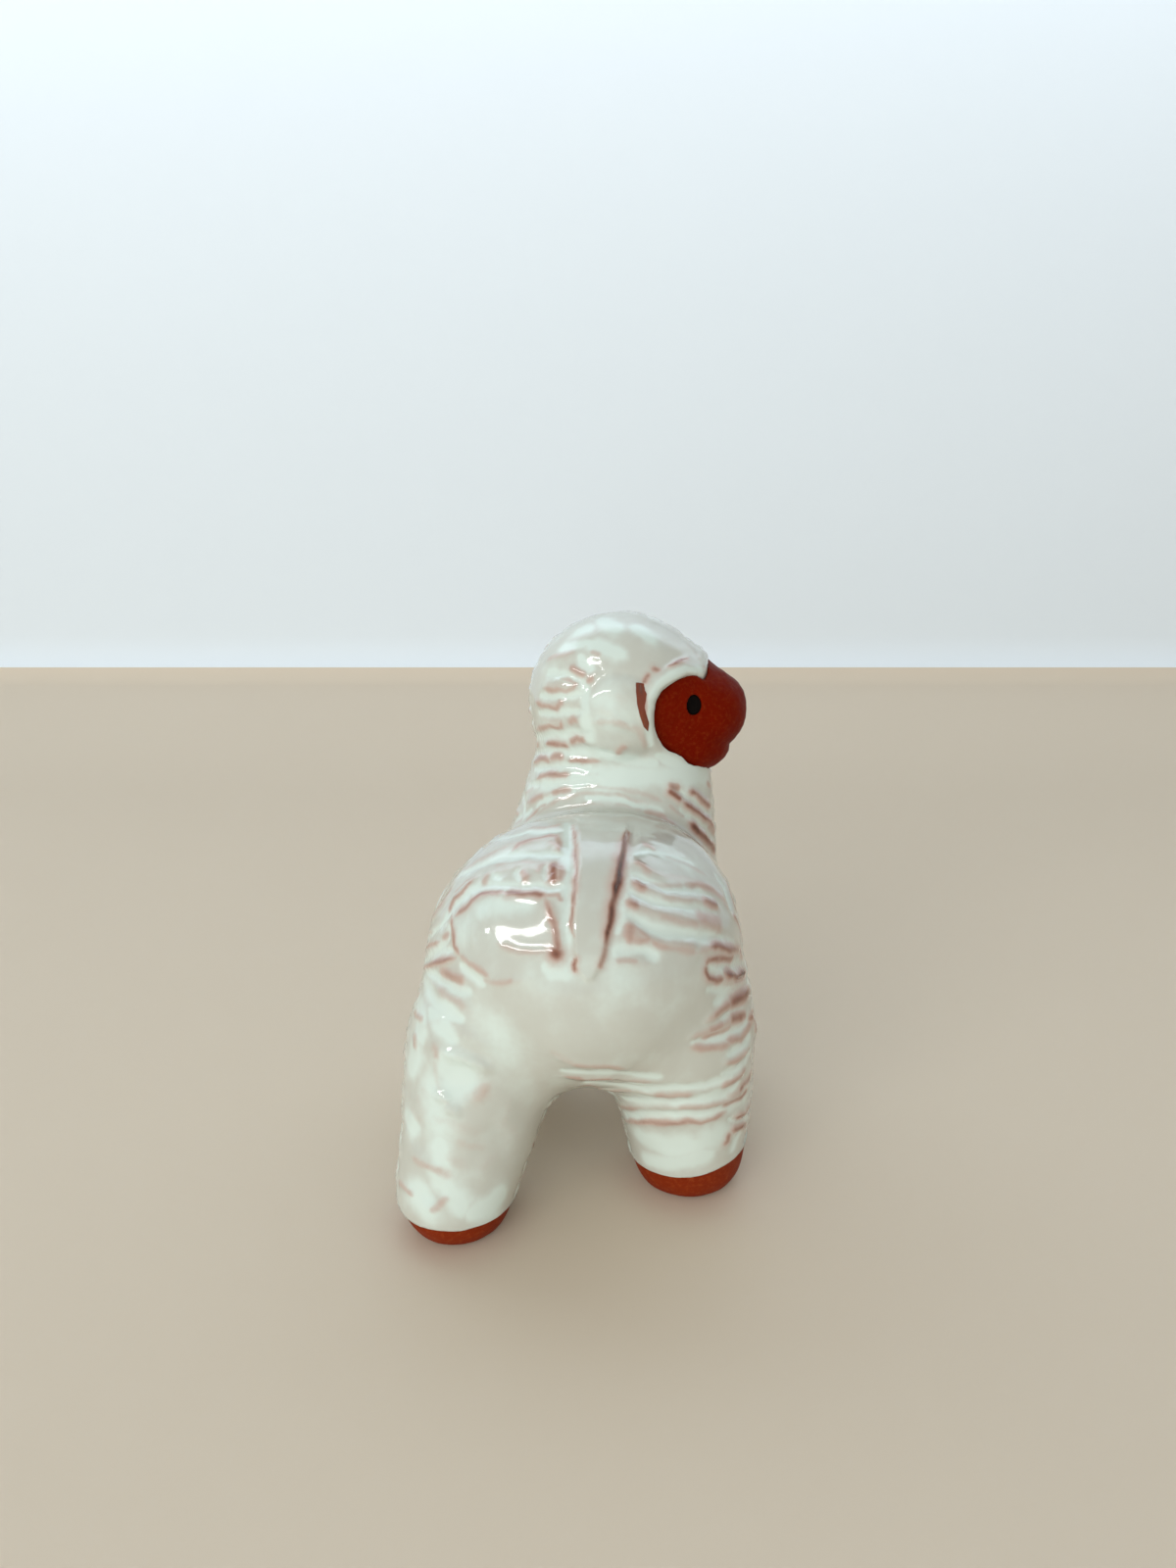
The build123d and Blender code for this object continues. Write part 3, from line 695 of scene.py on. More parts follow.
def cast(px, field):
    d = rays(px)
    t = np.full(len(d), 95.0)
    for _ in range(90):
        s = field((EYE + d * t[:, None]).astype(F)).astype(float)
        t = np.minimum(t + s * 0.85, 400)
    p = EYE + d * t[:, None]
    return p, np.abs(field(p.astype(F))) < 0.3


def to_px(v):
    r = v - EYE
    z = r @ FWD
    return CX + FOCAL * r[:, 0] / z, CY - FOCAL * (r @ UPV) / z


def densify(pts, gap):
    pts = np.array(pts, float)
    out = [pts[:1]]
    for a, b in zip(pts[:-1], pts[1:]):
        n = max(1, int(math.ceil(np.linalg.norm(b - a) / gap)))
        out.append(a + (b - a) * (np.arange(1, n + 1) / n)[:, None])
    return np.concatenate(out)


# ------------------------------------------------------------------ base body
STEP = 0.6
V, T = grid_mesh(outer_d, (-34, -8, -6), (32, 70, 92), STEP)
V = settle(outer_d, V, 2)


def glaze_limit(v):
    """Positive where the glaze covers: above the foot lines and outside the bare face."""
    wob = 0.35 * noise(v.astype(F), 4.0, 3) + 0.15 * noise(v.astype(F), 1.3, 4)
    x, y, z = v.T
    line = np.select(
        [(x < 0) & (y < 30), (x >= 0) & (y < 30), (x < 0)],
        [4.7 + 0.03 * (x + 20), 5.3 + 0.06 * (x - 10.3) + 0.2 * np.maximum(x - 16, 0), 4.4 - 0.12 * (x + 14)], 4.6 + 0.1 * (x - 15))
    low = z - line - 0.5 * wob
    f = face_d(v.astype(F)) + 0.25 * wob
    f = np.where(x > 8, f, 9.0)
    return np.minimum(low, f)


V, T = clip(V, T, glaze_limit(V).astype(float))
V = V.astype(float)

# ------------------------------------------------------------------ strokes in 3-D
pts, brown, width = [], [], []
white, white_w, white_d = [], [], []


def lay(line, gap=1.2):
    d = densify(line, gap)
    p, hit = cast(d, outer_d)
    hit[1:] &= np.linalg.norm(np.diff(p, axis=0), axis=1) < 6
    n = len(d)
    taper = np.minimum(1, 0.55 + np.minimum(np.arange(n), np.arange(n)[::-1]) / max(2.0, 0.25 * n))
    return p[hit], taper[hit], (np.linalg.norm(p - EYE, axis=1) / FOCAL)[hit]


for b, w, line in WOOL + [(0.6, 5.0, [(652, 699), (655, 715), (658, 730), (661, 744)])]:
    p, taper, scale = lay(line)
    pts.append(p)
    brown.append(b * taper)
    width.append(0.5 * w * taper * scale)
soft, soft_b, soft_w = [], [], []
for b, w, line in SOFT:
    p, taper, scale = lay(line, 2.0)
    soft.append(p)
    soft_b.append(b * taper)
    soft_w.append(0.5 * w * (0.5 + 0.5 * taper) * scale)
for w, depth, line in POOLS:
    p, taper, scale = lay(line, 2.0)
    white.append(p)
    white_w.append(w * (0.4 + 0.6 * taper) * scale)
    white_d.append(depth * taper)

# the sides that the photo doesn't show get strokes of the same kind, wrapped round the body
rng = np.random.RandomState(5)
N0 = gradient(outer_d, V)
N0 /= np.linalg.norm(N0, axis=1, keepdims=True)
view = V - EYE
view /= np.linalg.norm(view, axis=1, keepdims=True)
facing = -(view * N0).sum(1)
hidden = facing < -0.08
hidden |= (V[:, 1] > 40) & (V[:, 2] < 45) & (np.abs(V[:, 0]) < 24)
order = rng.permutation(np.flatnonzero(hidden))
taken, cells = [], set()
for i in order:
    c = tuple((V[i] / 3.1).astype(int))
    if c not in cells:
        cells.add(c)
        taken.append(i)
seed = V[np.array(taken)]
count = len(seed)
length = rng.uniform(4.0, 12.0, count)
strength = rng.choice([0.0, 0.3, 0.45, 0.6, 0.8], count, p=[0.2, 0.36, 0.26, 0.13, 0.05])
other = rng.choice([0.0, 0.25, 0.5], count, p=[0.5, 0.3, 0.2])
wide = rng.uniform(0.22, 0.36, count)
gouge = rng.uniform(0.62, 0.95, count)
slope = rng.normal(0, 0.2, count)
side = np.where(rng.rand(count) < 0.5, -1.0, 1.0)
pos = seed.copy()
STEPS = 16
for k in range(STEPS):
    g = gradient(outer_d, pos)
    g /= np.linalg.norm(g, axis=1, keepdims=True)
    t = np.cross(np.array([0, 0, 1.0]), g)
    t /= np.maximum(np.linalg.norm(t, axis=1, keepdims=True), 1e-6)
    up = np.cross(g, t)
    bend = slope + 0.55 * noise(pos.astype(F), 9.0, 2)
    t = (t * np.cos(bend)[:, None] + up * np.sin(bend)[:, None]) * side[:, None]
    lip = np.cross(g, t)
    pos = settle(outer_d, pos + t * (length / STEPS)[:, None], 1)
    fade = math.sin(math.pi * (k + 0.7) / (STEPS + 0.4)) ** 0.5
    away = -((pos - EYE) * g).sum(1) / np.linalg.norm(pos - EYE, axis=1)
    low = (pos[:, 1] > 40) & (pos[:, 2] < 45)
    ok = (glaze_limit(pos) > 0.4) & ((away < 0.06) | low)
    white.append(pos[ok])
    white_w.append((gouge * (0.5 + 0.5 * fade))[ok])
    white_d.append((0.3 * fade * np.ones(count))[ok])
    both = np.maximum(strength, other)
    # shelf: a soft stroke beside each gouge, a thinly glazed plateau plus painted shade like the listed ones
    shelf = pos + lip * ((np.where(strength >= other, 1.0, -1.0)) * (gouge * 1.5))[:, None]
    soft.append(shelf[ok])
    soft_b.append((0.16 + 0.3 * both * fade)[ok])
    soft_w.append((0.65 + 0.4 * wide)[ok])
    for way, level in ((1.0, strength), (-1.0, other)):
        edge = pos + lip * (way * (gouge * 1.1 + 0.15 * noise(pos.astype(F), 2.0, 12)))[:, None]
        use = ok & (level > 0)
        pts.append(edge[use])
        brown.append((level * fade)[use] * (0.75 + 0.35 * noise(pos[use].astype(F), 3.0, 13)))
        width.append((wide * (0.5 + 0.5 * fade))[use])
pts, brown, width = np.concatenate(pts), np.concatenate(brown), np.concatenate(width)
white, white_w, white_d = np.concatenate(white), np.concatenate(white_w), np.concatenate(white_d)
soft, soft_b, soft_w = np.concatenate(soft), np.concatenate(soft_b), np.concatenate(soft_w)

# ------------------------------------------------------------------ the coat: refine near strokes, carve, colour
BASE_V, BASE_T = V.copy(), T.copy()
rim = rim_edges(T)


def near_strokes(v, reach):
    tree = KDTree(len(pts))
    for i, p in enumerate(pts):
        tree.insert(p, i)
    tree.balance()
    return np.array([tree.find(p)[2] for p in v]) < reach


def visible(v):
    g = gradient(outer_d, v)
    d = v - EYE
    return ((g * d).sum(1) < 0.1 * np.linalg.norm(d, axis=1))


want = visible(V) | near_strokes(V, 0.8)
n0 = len(V)
V, T = refine(V, T, want)
V[n0:] = settle(outer_d, V[n0:], 2)

VF = V.astype(F)
wobble = np.stack([0.17 * noise(VF, 1.9, k) + 0.06 * noise(VF, 0.8, k + 3) for k in (21, 22, 23)], 1)
tree = KDTree(len(V))
for i, p in enumerate(V + wobble):
    tree.insert(p, i)
tree.balance()
uneven = 1 + 0.2 * noise(pts.astype(F), 2.4, 31)
brown, width = brown * np.clip(uneven, 0.7, 1.2), width * (1 + 0.3 * noise(pts.astype(F), 2.3, 32))
white_w = white_w * (1 + 0.3 * noise(white.astype(F), 2.6, 33))
crest_and_shade = np.zeros(len(V))
ridge = np.zeros(len(V))
pool = np.zeros(len(V))
carve = np.zeros(len(V))


def around(p, reach):
    hits = tree.find_range(p, reach)
    n = len(hits)
    return np.fromiter((h[1] for h in hits), np.int64, n), np.fromiter((h[2] for h in hits), float, n)


for p, b, w in zip(pts, brown, width):
    idx, d = around(p, 4.6 * w + 0.4)
    core = b * np.exp(-(d / (w * 1.8)) ** 2)
    halo = 0.42 * b * np.exp(-(d / (w * 3.2 + 0.25)) ** 2)
    crest_and_shade[idx] = np.maximum(crest_and_shade[idx], np.maximum(core, halo))
    ridge[idx] = np.maximum(ridge[idx], (0.3 + 0.7 * b) * np.exp(-(d / (w * 1.9 + 0.35)) ** 2))
shade = np.zeros(len(V))
for p, b, w in zip(soft, soft_b, soft_w):
    idx, d = around(p, 2.2 * w)
    shade[idx] = np.maximum(shade[idx], b * np.exp(-(d / (1.15 * w)) ** 2))
# the brown gouge-edge lines and the soft strokes (thinly glazed plateaus plus painted shade) are merged here into one
# colour attribute
crest_and_shade = np.maximum(crest_and_shade, 0.75 * shade) + 0.25 * np.minimum(crest_and_shade, shade)
for p, w, depth in zip(white, white_w, white_d):
    idx, d = around(p, 2.2 * w)
    fall = np.exp(-(d / (1.15 * w)) ** 2)
    pool[idx] = np.maximum(pool[idx], fall)
    carve[idx] = np.maximum(carve[idx], depth * fall)
for much, r, line in BROAD:
    p, taper, scale = lay(line, 5.0)
    for q, k in zip(p, scale):
        idx, d = around(q, 1.9 * r * k)
        pool[idx] = np.maximum(pool[idx], much * np.exp(-(d / (r * k)) ** 2))

# tail strip
u, w_px = to_px(V)
on_rump = (V[:, 1] < 30) & (V[:, 2] > 36) & (np.abs(V[:, 0]) < 14)
tail_in = np.full(len(V), -50.0)
tail_in[on_rump] = -poly_sd(u[on_rump].astype(F), w_px[on_rump].astype(F), TAIL)
fade_top = np.clip((w_px - 836) / 16, 0, 1)
tail_h = np.clip((tail_in + 1.0) / 5.0, 0, 1)
tail_h = tail_h * tail_h * (3 - 2 * tail_h) * fade_top
fade_tip = np.clip((1006 - w_px) / 30, 0.12, 1)
tail_h = tail_h * (0.35 + 0.65 * fade_tip)
groove = np.exp(-((tail_in + 5.5) / 4.0) ** 2) * fade_top * fade_tip * on_rump
N = gradient(outer_d, V)
N /= np.linalg.norm(N, axis=1, keepdims=True)
lump = 0.26 * noise(VF, 9.0, 1) + 0.07 * noise(VF, 4.0, 5) + 0.010 * noise(VF, 1.4, 6)
swell = np.zeros(len(V))
for height, w, line in SWELLS:
    p, taper, scale = lay(line, 1.5)
    for q, up_, k in zip(p, taper, scale):
        idx, d = around(q, 2.4 * w * k)
        swell[idx] = np.maximum(swell[idx], height * np.minimum(1, up_) * np.exp(-(d / (w * k)) ** 2))
for at, r, depth in DENTS:
    p, hit = cast([at], outer_d)
    k = float(np.linalg.norm(p[0] - EYE)) / FOCAL
    idx, d = around(p[0], 1.6 * r * k)
    swell[idx] -= depth * np.exp(-(d / (0.75 * r * k)) ** 4)
high = 0.16 * ridge + 0.55 * shade - 0.95 * carve + swell + 0.60 * tail_h - 0.22 * groove + lump
rim_v = np.unique(rim)
calm = np.ones(len(V))
calm *= np.clip(np.abs(trunk_d(VF) - neck_d(VF)) / 2.2, 0.2, 1)      # no steep relief in the crease round the neck
calm[rim_v] = 0.35
V_OUT = V + N * (high * calm)[:, None]

# inner face of the coat, and the rim between
n_out = len(V_OUT)
NB = gradient(outer_d, BASE_V)
NB /= np.linalg.norm(NB, axis=1, keepdims=True)
V_IN = BASE_V - NB * 0.95
faces = [T, BASE_T[:, ::-1] + n_out]
a, b = rim[:, 0], rim[:, 1]
faces += [np.stack((b, a, a + n_out), 1), np.stack((b, a + n_out, b + n_out), 1)]
V_ALL = np.concatenate([V_OUT, V_IN])
T_ALL = np.concatenate(faces)
zero = np.zeros(len(V_IN))


# ------------------------------------------------------------------ materials
def node(tree, kind, **values):
    n = tree.nodes.new(kind)
    for k, val in values.items():
        if hasattr(n, k) and k not in n.inputs:
            setattr(n, k, val)
        else:
            n.inputs[k].default_value = val
    return n


def fresh(name):
    m = bpy.data.materials.new(name)
    m.use_nodes = True
    t = m.node_tree
    t.nodes.clear()
    out = t.nodes.new("ShaderNodeOutputMaterial")
    bsdf = t.nodes.new("ShaderNodeBsdfPrincipled")
    t.links.new(bsdf.outputs[0], out.inputs[0])
    return m, t, bsdf


def mix(t, fac, a, b):
    n = t.nodes.new("ShaderNodeMix")
    n.data_type = "RGBA"
    for sock, val in ((n.inputs[0], fac), (n.inputs[6], a), (n.inputs[7], b)):
        if isinstance(val, bpy.types.NodeSocket):
            t.links.new(val, sock)
        elif isinstance(val, float):
            sock.default_value = val
        else:
            sock.default_value = (*val, 1)
    return n.outputs[2]


def ramp(t, fac, a, b, smooth=True):
    n = t.nodes.new("ShaderNodeMapRange")
    n.interpolation_type = "SMOOTHSTEP" if smooth else "LINEAR"
    n.inputs[1].default_value, n.inputs[2].default_value = a, b
    t.links.new(fac, n.inputs[0])
    return n.outputs[0]


def math_node(t, op, a, b):
    n = t.nodes.new("ShaderNodeMath")
    n.operation = op
    for sock, val in ((n.inputs[0], a), (n.inputs[1], b)):
        if isinstance(val, bpy.types.NodeSocket):
            t.links.new(val, sock)
        else:
            sock.default_value = val
    return n.outputs[0]


def attr(t, name):
    n = t.nodes.new("ShaderNodeAttribute")
    n.attribute_name = name
    return n.outputs["Fac"]


def noise_node(t, scale, detail=3.0, rough=0.55):
    c = t.nodes.new("ShaderNodeTexCoord")
    n = t.nodes.new("ShaderNodeTexNoise")
    n.inputs["Scale"].default_value = scale
    n.inputs["Detail"].default_value = detail
    n.inputs["Roughness"].default_value = rough
    t.links.new(c.outputs["Object"], n.inputs["Vector"])
    return n.outputs["Fac"]


def bump(t, bsdf, height, strength, distance):
    n = t.nodes.new("ShaderNodeBump")
    n.inputs["Strength"].default_value = strength
    n.inputs["Distance"].default_value = distance
    t.links.new(height, n.inputs["Height"])
    t.links.new(n.outputs[0], bsdf.inputs["Normal"])


GLAZE, t, bsdf = fresh("white_glaze")
blot = noise_node(t, 140, 4)
cloud = noise_node(t, 290, 2)
fine = noise_node(t, 900, 3)
mottle = math_node(t, "ADD", math_node(t, "MULTIPLY", math_node(t, "SUBTRACT", blot, 0.5), 0.8),
                   math_node(t, "MULTIPLY", math_node(t, "SUBTRACT", cloud, 0.5), 0.7))
pooled = math_node(t, "ADD", attr(t, "pool"), mottle)
base = mix(t, ramp(t, pooled, -0.1, 0.85), (0.585, 0.585, 0.510), (0.715, 0.800, 0.725))
# this mix drives the pink, rust and dark colours from the gouge edges, the thinly glazed plateaus and the painted shade
thin_glaze_and_shade = math_node(t, "ADD", attr(t, "crest_and_shade"), math_node(t, "MULTIPLY", math_node(t, "SUBTRACT", fine, 0.5), 0.14))
pinky = mix(t, ramp(t, thin_glaze_and_shade, 0.06, 0.52), base, (0.550, 0.410, 0.340))
rust = mix(t, ramp(t, thin_glaze_and_shade, 0.40, 0.98), pinky, (0.300, 0.125, 0.080))
dark = mix(t, ramp(t, thin_glaze_and_shade, 0.86, 1.20), rust, (0.100, 0.028, 0.015))
bare = mix(t, ramp(t, attr(t, "bare"), 0.35, 0.65), dark, (0.185, 0.0330, 0.0090))
t.links.new(bare, bsdf.inputs["Base Color"])
bsdf.inputs["Roughness"].default_value = 0.12
bsdf.inputs["IOR"].default_value = 1.5
bsdf.inputs["Coat Weight"].default_value = 0.6
bsdf.inputs["Coat Roughness"].default_value = 0.06
bump(t, bsdf, fine, 0.05, 0.0002)

# terracotta of the face, muzzle and inner clay: the same clay as the feet, kept darker here as painted shade on the
# face
CLAY_SHADED, t, bsdf = fresh("terracotta")
grain = noise_node(t, 1500, 4, 0.7)
blot = noise_node(t, 180, 4)
c1 = mix(t, blot, (0.130, 0.0040, 0.0005), (0.175, 0.0085, 0.0010))
c2 = mix(t, ramp(t, grain, 0.45, 0.75), c1, (0.190, 0.020, 0.004))
t.links.new(c2, bsdf.inputs["Base Color"])
bsdf.inputs["Roughness"].default_value = 0.5
bsdf.inputs["Specular IOR Level"].default_value = 0.05
bsdf.inputs["Specular Tint"].default_value = (1.0, 0.5, 0.3, 1)
bump(t, bsdf, grain, 0.25, 0.0003)

# terracotta of the feet: the same clay made lighter and more orange, as painted light where the feet catch more light
# and floor bounce
FOOT_LIT, t, bsdf = fresh("terracotta_feet_lit")
grain = noise_node(t, 1500, 4, 0.7)
blot = noise_node(t, 160, 4)
c1 = mix(t, blot, (0.190, 0.0150, 0.0015), (0.260, 0.0280, 0.0030))
c2 = mix(t, ramp(t, grain, 0.45, 0.75), c1, (0.300, 0.050, 0.010))
t.links.new(c2, bsdf.inputs["Base Color"])
bsdf.inputs["Roughness"].default_value = 0.6
bsdf.inputs["Specular IOR Level"].default_value = 0.12
bump(t, bsdf, grain, 0.3, 0.0003)

BLACK, t, bsdf = fresh("eye_black")
grain = noise_node(t, 1200, 3)
t.links.new(mix(t, grain, (0.0025, 0.002, 0.002), (0.007, 0.005, 0.004)), bsdf.inputs["Base Color"])
bsdf.inputs["Roughness"].default_value = 0.6
bsdf.inputs["Specular IOR Level"].default_value = 0.05
bump(t, bsdf, grain, 0.15, 0.0002)

# ------------------------------------------------------------------ pieces
bare_edge = np.zeros(len(V_OUT))
ear_side = (V[:, 1] < 44) & (V[:, 2] > 62) & (V[:, 0] > 4) & (N[:, 1] < 0.3)
bare_edge[ear_side] = np.clip(0.5 - poly_sd(u[ear_side].astype(F), w_px[ear_side].astype(F), EAR_EDGE) / 2.4, 0, 1)
make("glaze_coat", V_ALL, T_ALL, [GLAZE],
     {"crest_and_shade": np.concatenate([crest_and_shade, zero]), "pool": np.concatenate([pool, zero]), "bare": np.concatenate([bare_edge, zero])},
     "glaze_coat")

def wrap(name, field, lo, hi, step, mat, rough=0.0, seed=8):
    v, f = grid_mesh(field, lo, hi, step * (1))
    v = settle(field, v, 1)
    if rough:
        n = gradient(field, v)
        n /= np.maximum(np.linalg.norm(n, axis=1, keepdims=True), 1e-6)
        v = v + n * (rough * noise(v.astype(F), 3.0, seed) * np.clip(v[:, 2], 0, 1))[:, None]
    v[:, 2] = np.maximum(v[:, 2], 0)
    return make(name, v, f, [mat], None, name)


def cut_all(d, *others):
    for o in others:
        d = np.maximum(d, -o)
    return d


CORE = 1.05      # clay starts this far under the outside of the glaze


def tail_piece(p):
    q = p.reshape(-1, 3).astype(float)
    r = q - EYE
    z = r @ FWD
    side = poly_sd((CX + FOCAL * r[:, 0] / z).astype(F), (CY - FOCAL * (r @ UPV) / z).astype(F), TAIL) / 7.0
    side = np.where((q[:, 1] < 30) & (q[:, 2] > 36), side, 9.0).reshape(p.shape[:-1])
    o = outer_d(p)
    return np.maximum(np.maximum(o + CORE, -(o + CORE + 1.3)), side + 0.5)


def trunk_wall(p):
    o, tr = outer_d(p), trunk_d(p)
    d = np.maximum(np.maximum(o + CORE, tr + 0.9), -(tr + 5.5))
    hole = np.sqrt((p[..., 0] - 0.2) ** 2 + (p[..., 1] - 24) ** 2) - 2.0
    d = np.where(p[..., 2] < 38, np.maximum(d, -hole), d)
    air = np.sqrt((p[..., 0] - 4.2) ** 2 + (p[..., 1] - 45.9) ** 2) - 4.5
    d = np.where(p[..., 2] > 38, np.maximum(d, -air), d)
    return np.maximum(d, -tail_piece(p) + 0.05)


LO, HI = np.array([-32.0, -6.0, 12.0]), np.array([32.0, 68.0, 64.0])
wrap("rear_trunk_shell", lambda p: np.maximum(trunk_wall(p), p[..., 1] - 30.8), LO, (32, 34, 64), 0.8, CLAY_SHADED)
wrap("front_trunk_shell", lambda p: np.maximum(trunk_wall(p), 31.2 - p[..., 1]), (-32, 28, 12), HI, 0.8, CLAY_SHADED)
wrap("tail", tail_piece, (-8, -6, 38), (14, 32, 64), 0.4, CLAY_SHADED)
for name, (a, b, r1, r2) in LEGS.items():
    def leg(p, a=a, b=b, r1=r1, r2=r2):
        d = smax(rcone(p, a, b, r1 - 0.5, r2 - 0.45), -p[..., 2], 0.9)
        d = np.where(p[..., 2] > 9, np.maximum(d, outer_d(p) + CORE), d)
        return cut_all(d, trunk_d(p) + 0.5)
    lo, hi = np.minimum(a, b) - 13.0, np.maximum(a, b) + 13.0
    lo[2], hi[2] = -1.5, 42.0
    wrap(name, leg, lo, hi, 0.6, FOOT_LIT, 0.10)
wrap("neck", lambda p: cut_all(np.maximum(np.maximum(outer_d(p) + CORE, neck_d(p) + 0.9), p[..., 2] - 76), neck_d(p) + 4.6, trunk_d(p) + 0.5, head_d(p) + 0.5, muzzle_lobes(p) - 0.1),
     (-18, 24, 40), (26, 68, 78), 0.8, CLAY_SHADED)
wrap("head", lambda p: cut_all(np.maximum(head_d(p) + 0.9, outer_d(p) + CORE), head_d(p) + 4.7), (-14, 30, 56), (26, 66, 92), 0.8, CLAY_SHADED)
wrap("fringe", lambda p: cut_all(np.maximum(ring_d(p) + 0.7, outer_d(p) + 0.8), head_d(p) + 0.5, muzzle_lobes(p) - 0.05), (4, 28, 56), (26, 68, 90), 0.4, CLAY_SHADED)
for name, sgn in (("right_ear", -1), ("left_ear", 1)):
    lo_y = 29 if sgn < 0 else 53
    wrap(name, lambda p, sgn=sgn: cut_all(np.maximum(ear_d(p, sgn) + 0.75, outer_d(p) + 0.85), head_d(p) + 0.5, neck_d(p) + 0.5), (-4, lo_y, 58), (14, lo_y + 14, 84), 0.4, CLAY_SHADED)


def eye_ball(p, side):
    q = p.copy()
    if side > 0:
        q[..., 1] = 93.6 - q[..., 1]
    return ell(q, (17.2, 38.1, 74.9), (1.4, 1.5, 1.7))


def muzzle_piece(p):
    d = muzzle_d(p)
    d = smax(d, -eye_ball(p, -1), 0.15)
    d = smax(d, -eye_ball(p, 1), 0.15)
    return cut_all(np.maximum(d, 8.0 - p[..., 0]), head_d(p) + 0.9)


v, f = grid_mesh(muzzle_piece, (6, 33, 58), (31, 62, 86), 0.3)
v = settle(muzzle_piece, v, 2)
n = gradient(muzzle_piece, v)
n /= np.linalg.norm(n, axis=1, keepdims=True)
v = v + n * (0.12 * noise(v.astype(F), 3.2, 9) + 0.04 * noise(v.astype(F), 1.0, 10))[:, None]
make("muzzle", v, f, [CLAY_SHADED], None, "muzzle")
for name, sgn in (("right_eye", -1), ("left_eye", 1)):
    def eye(p, sgn=sgn):
        ball = eye_ball(p, sgn)
        return smax(ball + 0.03, muzzle_lobes(p) + 0.18, 0.1)
    yc = 38.1 if sgn < 0 else 55.5
    v, f = grid_mesh(eye, (15, yc - 2.2, 72.4), (19.4, yc + 2.2, 77.4), 0.12)
    v = settle(eye, v, 2)
    make(name, v, f, [BLACK], None, name)

# slip in the seams: the pads as built, trimmed back where the sculpted outside runs closer
SLIP, t, bsdf = fresh("slip")
grain = noise_node(t, 1300, 4, 0.65)
t.links.new(mix(t, grain, (0.20, 0.055, 0.025), (0.30, 0.105, 0.055)), bsdf.inputs["Base Color"])
bsdf.inputs["Roughness"].default_value = 0.8
bump(t, bsdf, grain, 0.3, 0.0003)
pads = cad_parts["luting_slip"].data
pads.calc_loop_triangles()
v = np.empty(3 * len(pads.vertices), F)
pads.vertices.foreach_get("co", v)
v = v.reshape(-1, 3).astype(float) / MM - SHIFT
f = np.empty(3 * len(pads.loop_triangles), np.int32)
pads.loop_triangles.foreach_get("vertices", f)
for _ in range(3):
    g = gradient(outer_d, v)
    v = v - g * (np.maximum(outer_d(v.astype(F)) + 1.2, 0) / np.maximum((g * g).sum(1), 0.2))[:, None]
make("slip_pads", v, f.reshape(-1, 3).astype(np.int64), [SLIP], None, "luting_slip")

# ------------------------------------------------------------------ floor, light, camera
floor_me = bpy.data.meshes.new("floor")
W, BACK, COVE, TOP = 2.5, 0.372, 0.02, 1.6
line = [(-2.5, 0.0), (BACK - COVE, 0.0)]
line += [(BACK - COVE + COVE * math.sin(k * math.pi / 16), COVE - COVE * math.cos(k * math.pi / 16)) for k in range(1, 9)]
line += [(BACK, TOP)]
floor_me.from_pydata([(x, y, z) for y, z in line for x in (-W, W)], [], [(2 * i, 2 * i + 1, 2 * i + 3, 2 * i + 2) for i in range(len(line) - 1)])
floor_me.polygons.foreach_set("use_smooth", [True] * len(floor_me.polygons))
floor = bpy.data.objects.new("floor", floor_me)
bpy.context.scene.collection.objects.link(floor)
FLOOR, t, bsdf = fresh("floor_pale")
bsdf.inputs["Base Color"].default_value = (0.69, 0.58, 0.45, 1)
bsdf.inputs["Roughness"].default_value = 0.6
floor_me.materials.append(FLOOR)
WALL, t, bsdf = fresh("wall_pale")
bsdf.inputs["Base Color"].default_value = (0.82, 0.875, 0.91, 1)
bsdf.inputs["Roughness"].default_value = 0.8
floor_me.materials.append(WALL)
floor_me.polygons.foreach_set("material_index", [0 if i < 5 else 1 for i in range(len(floor_me.polygons))])

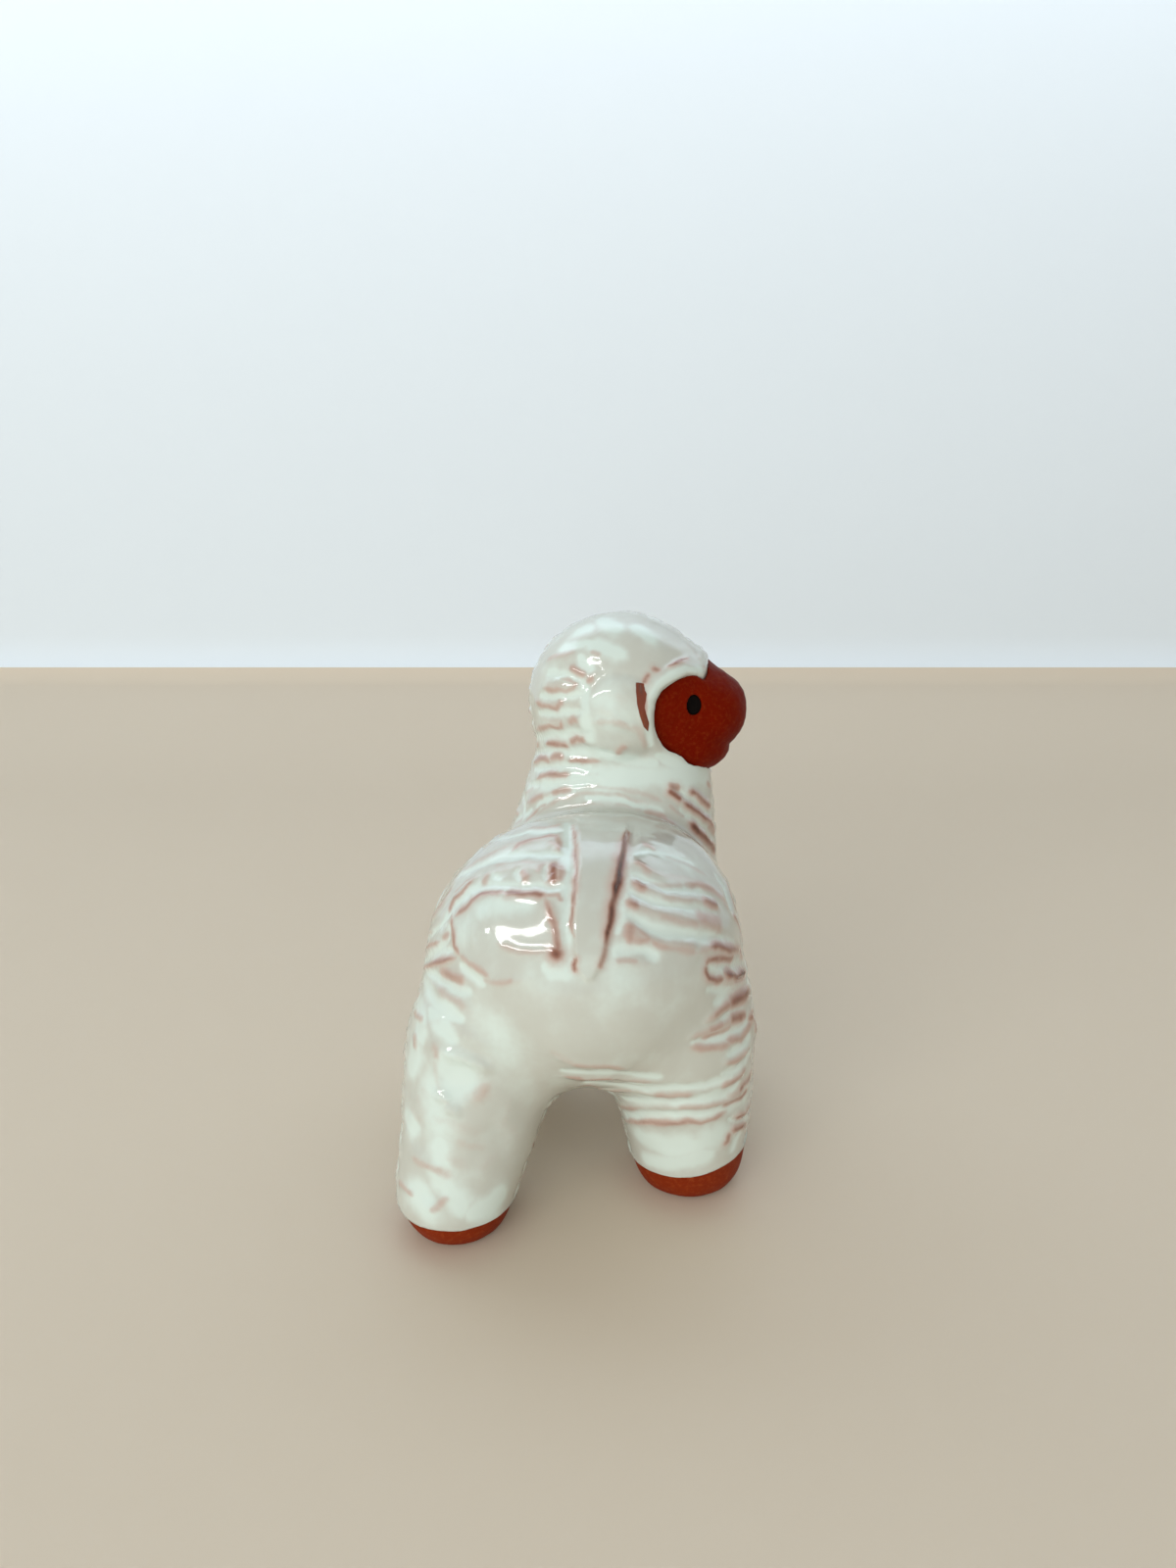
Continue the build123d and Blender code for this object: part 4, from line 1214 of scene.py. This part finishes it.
world = bpy.data.worlds.new("studio")
bpy.context.scene.world = world
world.use_nodes = True
wt = world.node_tree
wt.nodes["Background"].inputs[0].default_value = (0.96, 0.96, 0.93, 1)
wt.nodes["Background"].inputs[1].default_value = 0.45


def area(name, at, to, sx, sy, power, color, roll=0.0):
    d = bpy.data.lights.new(name, "AREA")
    d.shape, d.size, d.size_y, d.energy, d.color = "RECTANGLE", sx, sy, power, color
    o = bpy.data.objects.new(name, d)
    bpy.context.scene.collection.objects.link(o)
    at, to = np.array(at, float), np.array(to, float)
    z = at - to
    z /= np.linalg.norm(z)
    x = np.cross([0, 0, 1.0], z)
    x /= np.linalg.norm(x)
    y = np.cross(z, x)
    c, k = math.cos(math.radians(roll)), math.sin(math.radians(roll))
    x, y = x * c + y * k, y * c - x * k
    m = np.eye(4)
    m[:3, 0], m[:3, 1], m[:3, 2], m[:3, 3] = x, y, z, at
    from mathutils import Matrix
    o.matrix_world = Matrix(m.tolist())
    return o


window = area("window", (-0.62, -0.44, 0.62), (0, 0, 0.04), 0.50, 0.16, 0.4, (0.93, 1.0, 0.98))
window.visible_glossy = False
room = area("room", (-0.42, -1.0, 0.30), (0, 0, 0.05), 1.0, 0.8, 8.8, (0.93, 1.0, 1.03))
room.visible_glossy = False
area("wash", (0, 0.14, 0.60), (0, 0.372, 0.62), 1.6, 0.2, 4.2, (0.86, 1.0, 1.16)).visible_glossy = False
strip = area("strip", (-0.635, -0.43, 0.68), (0, 0, 0.04), 0.80, 0.085, 2.5, (1.0, 1.0, 1.0), 26)
strip.visible_diffuse = False

cam_d = bpy.data.cameras.new("cam")
cam_d.sensor_width = 36.0
cam_d.lens = FOCAL * 36.0 / 1600.0
cam_d.clip_start, cam_d.clip_end = 0.005, 20
cam = bpy.data.objects.new("cam", cam_d)
cam.location = tuple((EYE + SHIFT) * MM)
cam.rotation_euler = (math.pi / 2 - PITCH, 0, 0)
bpy.context.scene.collection.objects.link(cam)
bpy.context.scene.camera = cam

bpy.context.scene.view_settings.view_transform = "Standard"
bpy.context.view_layer.update()
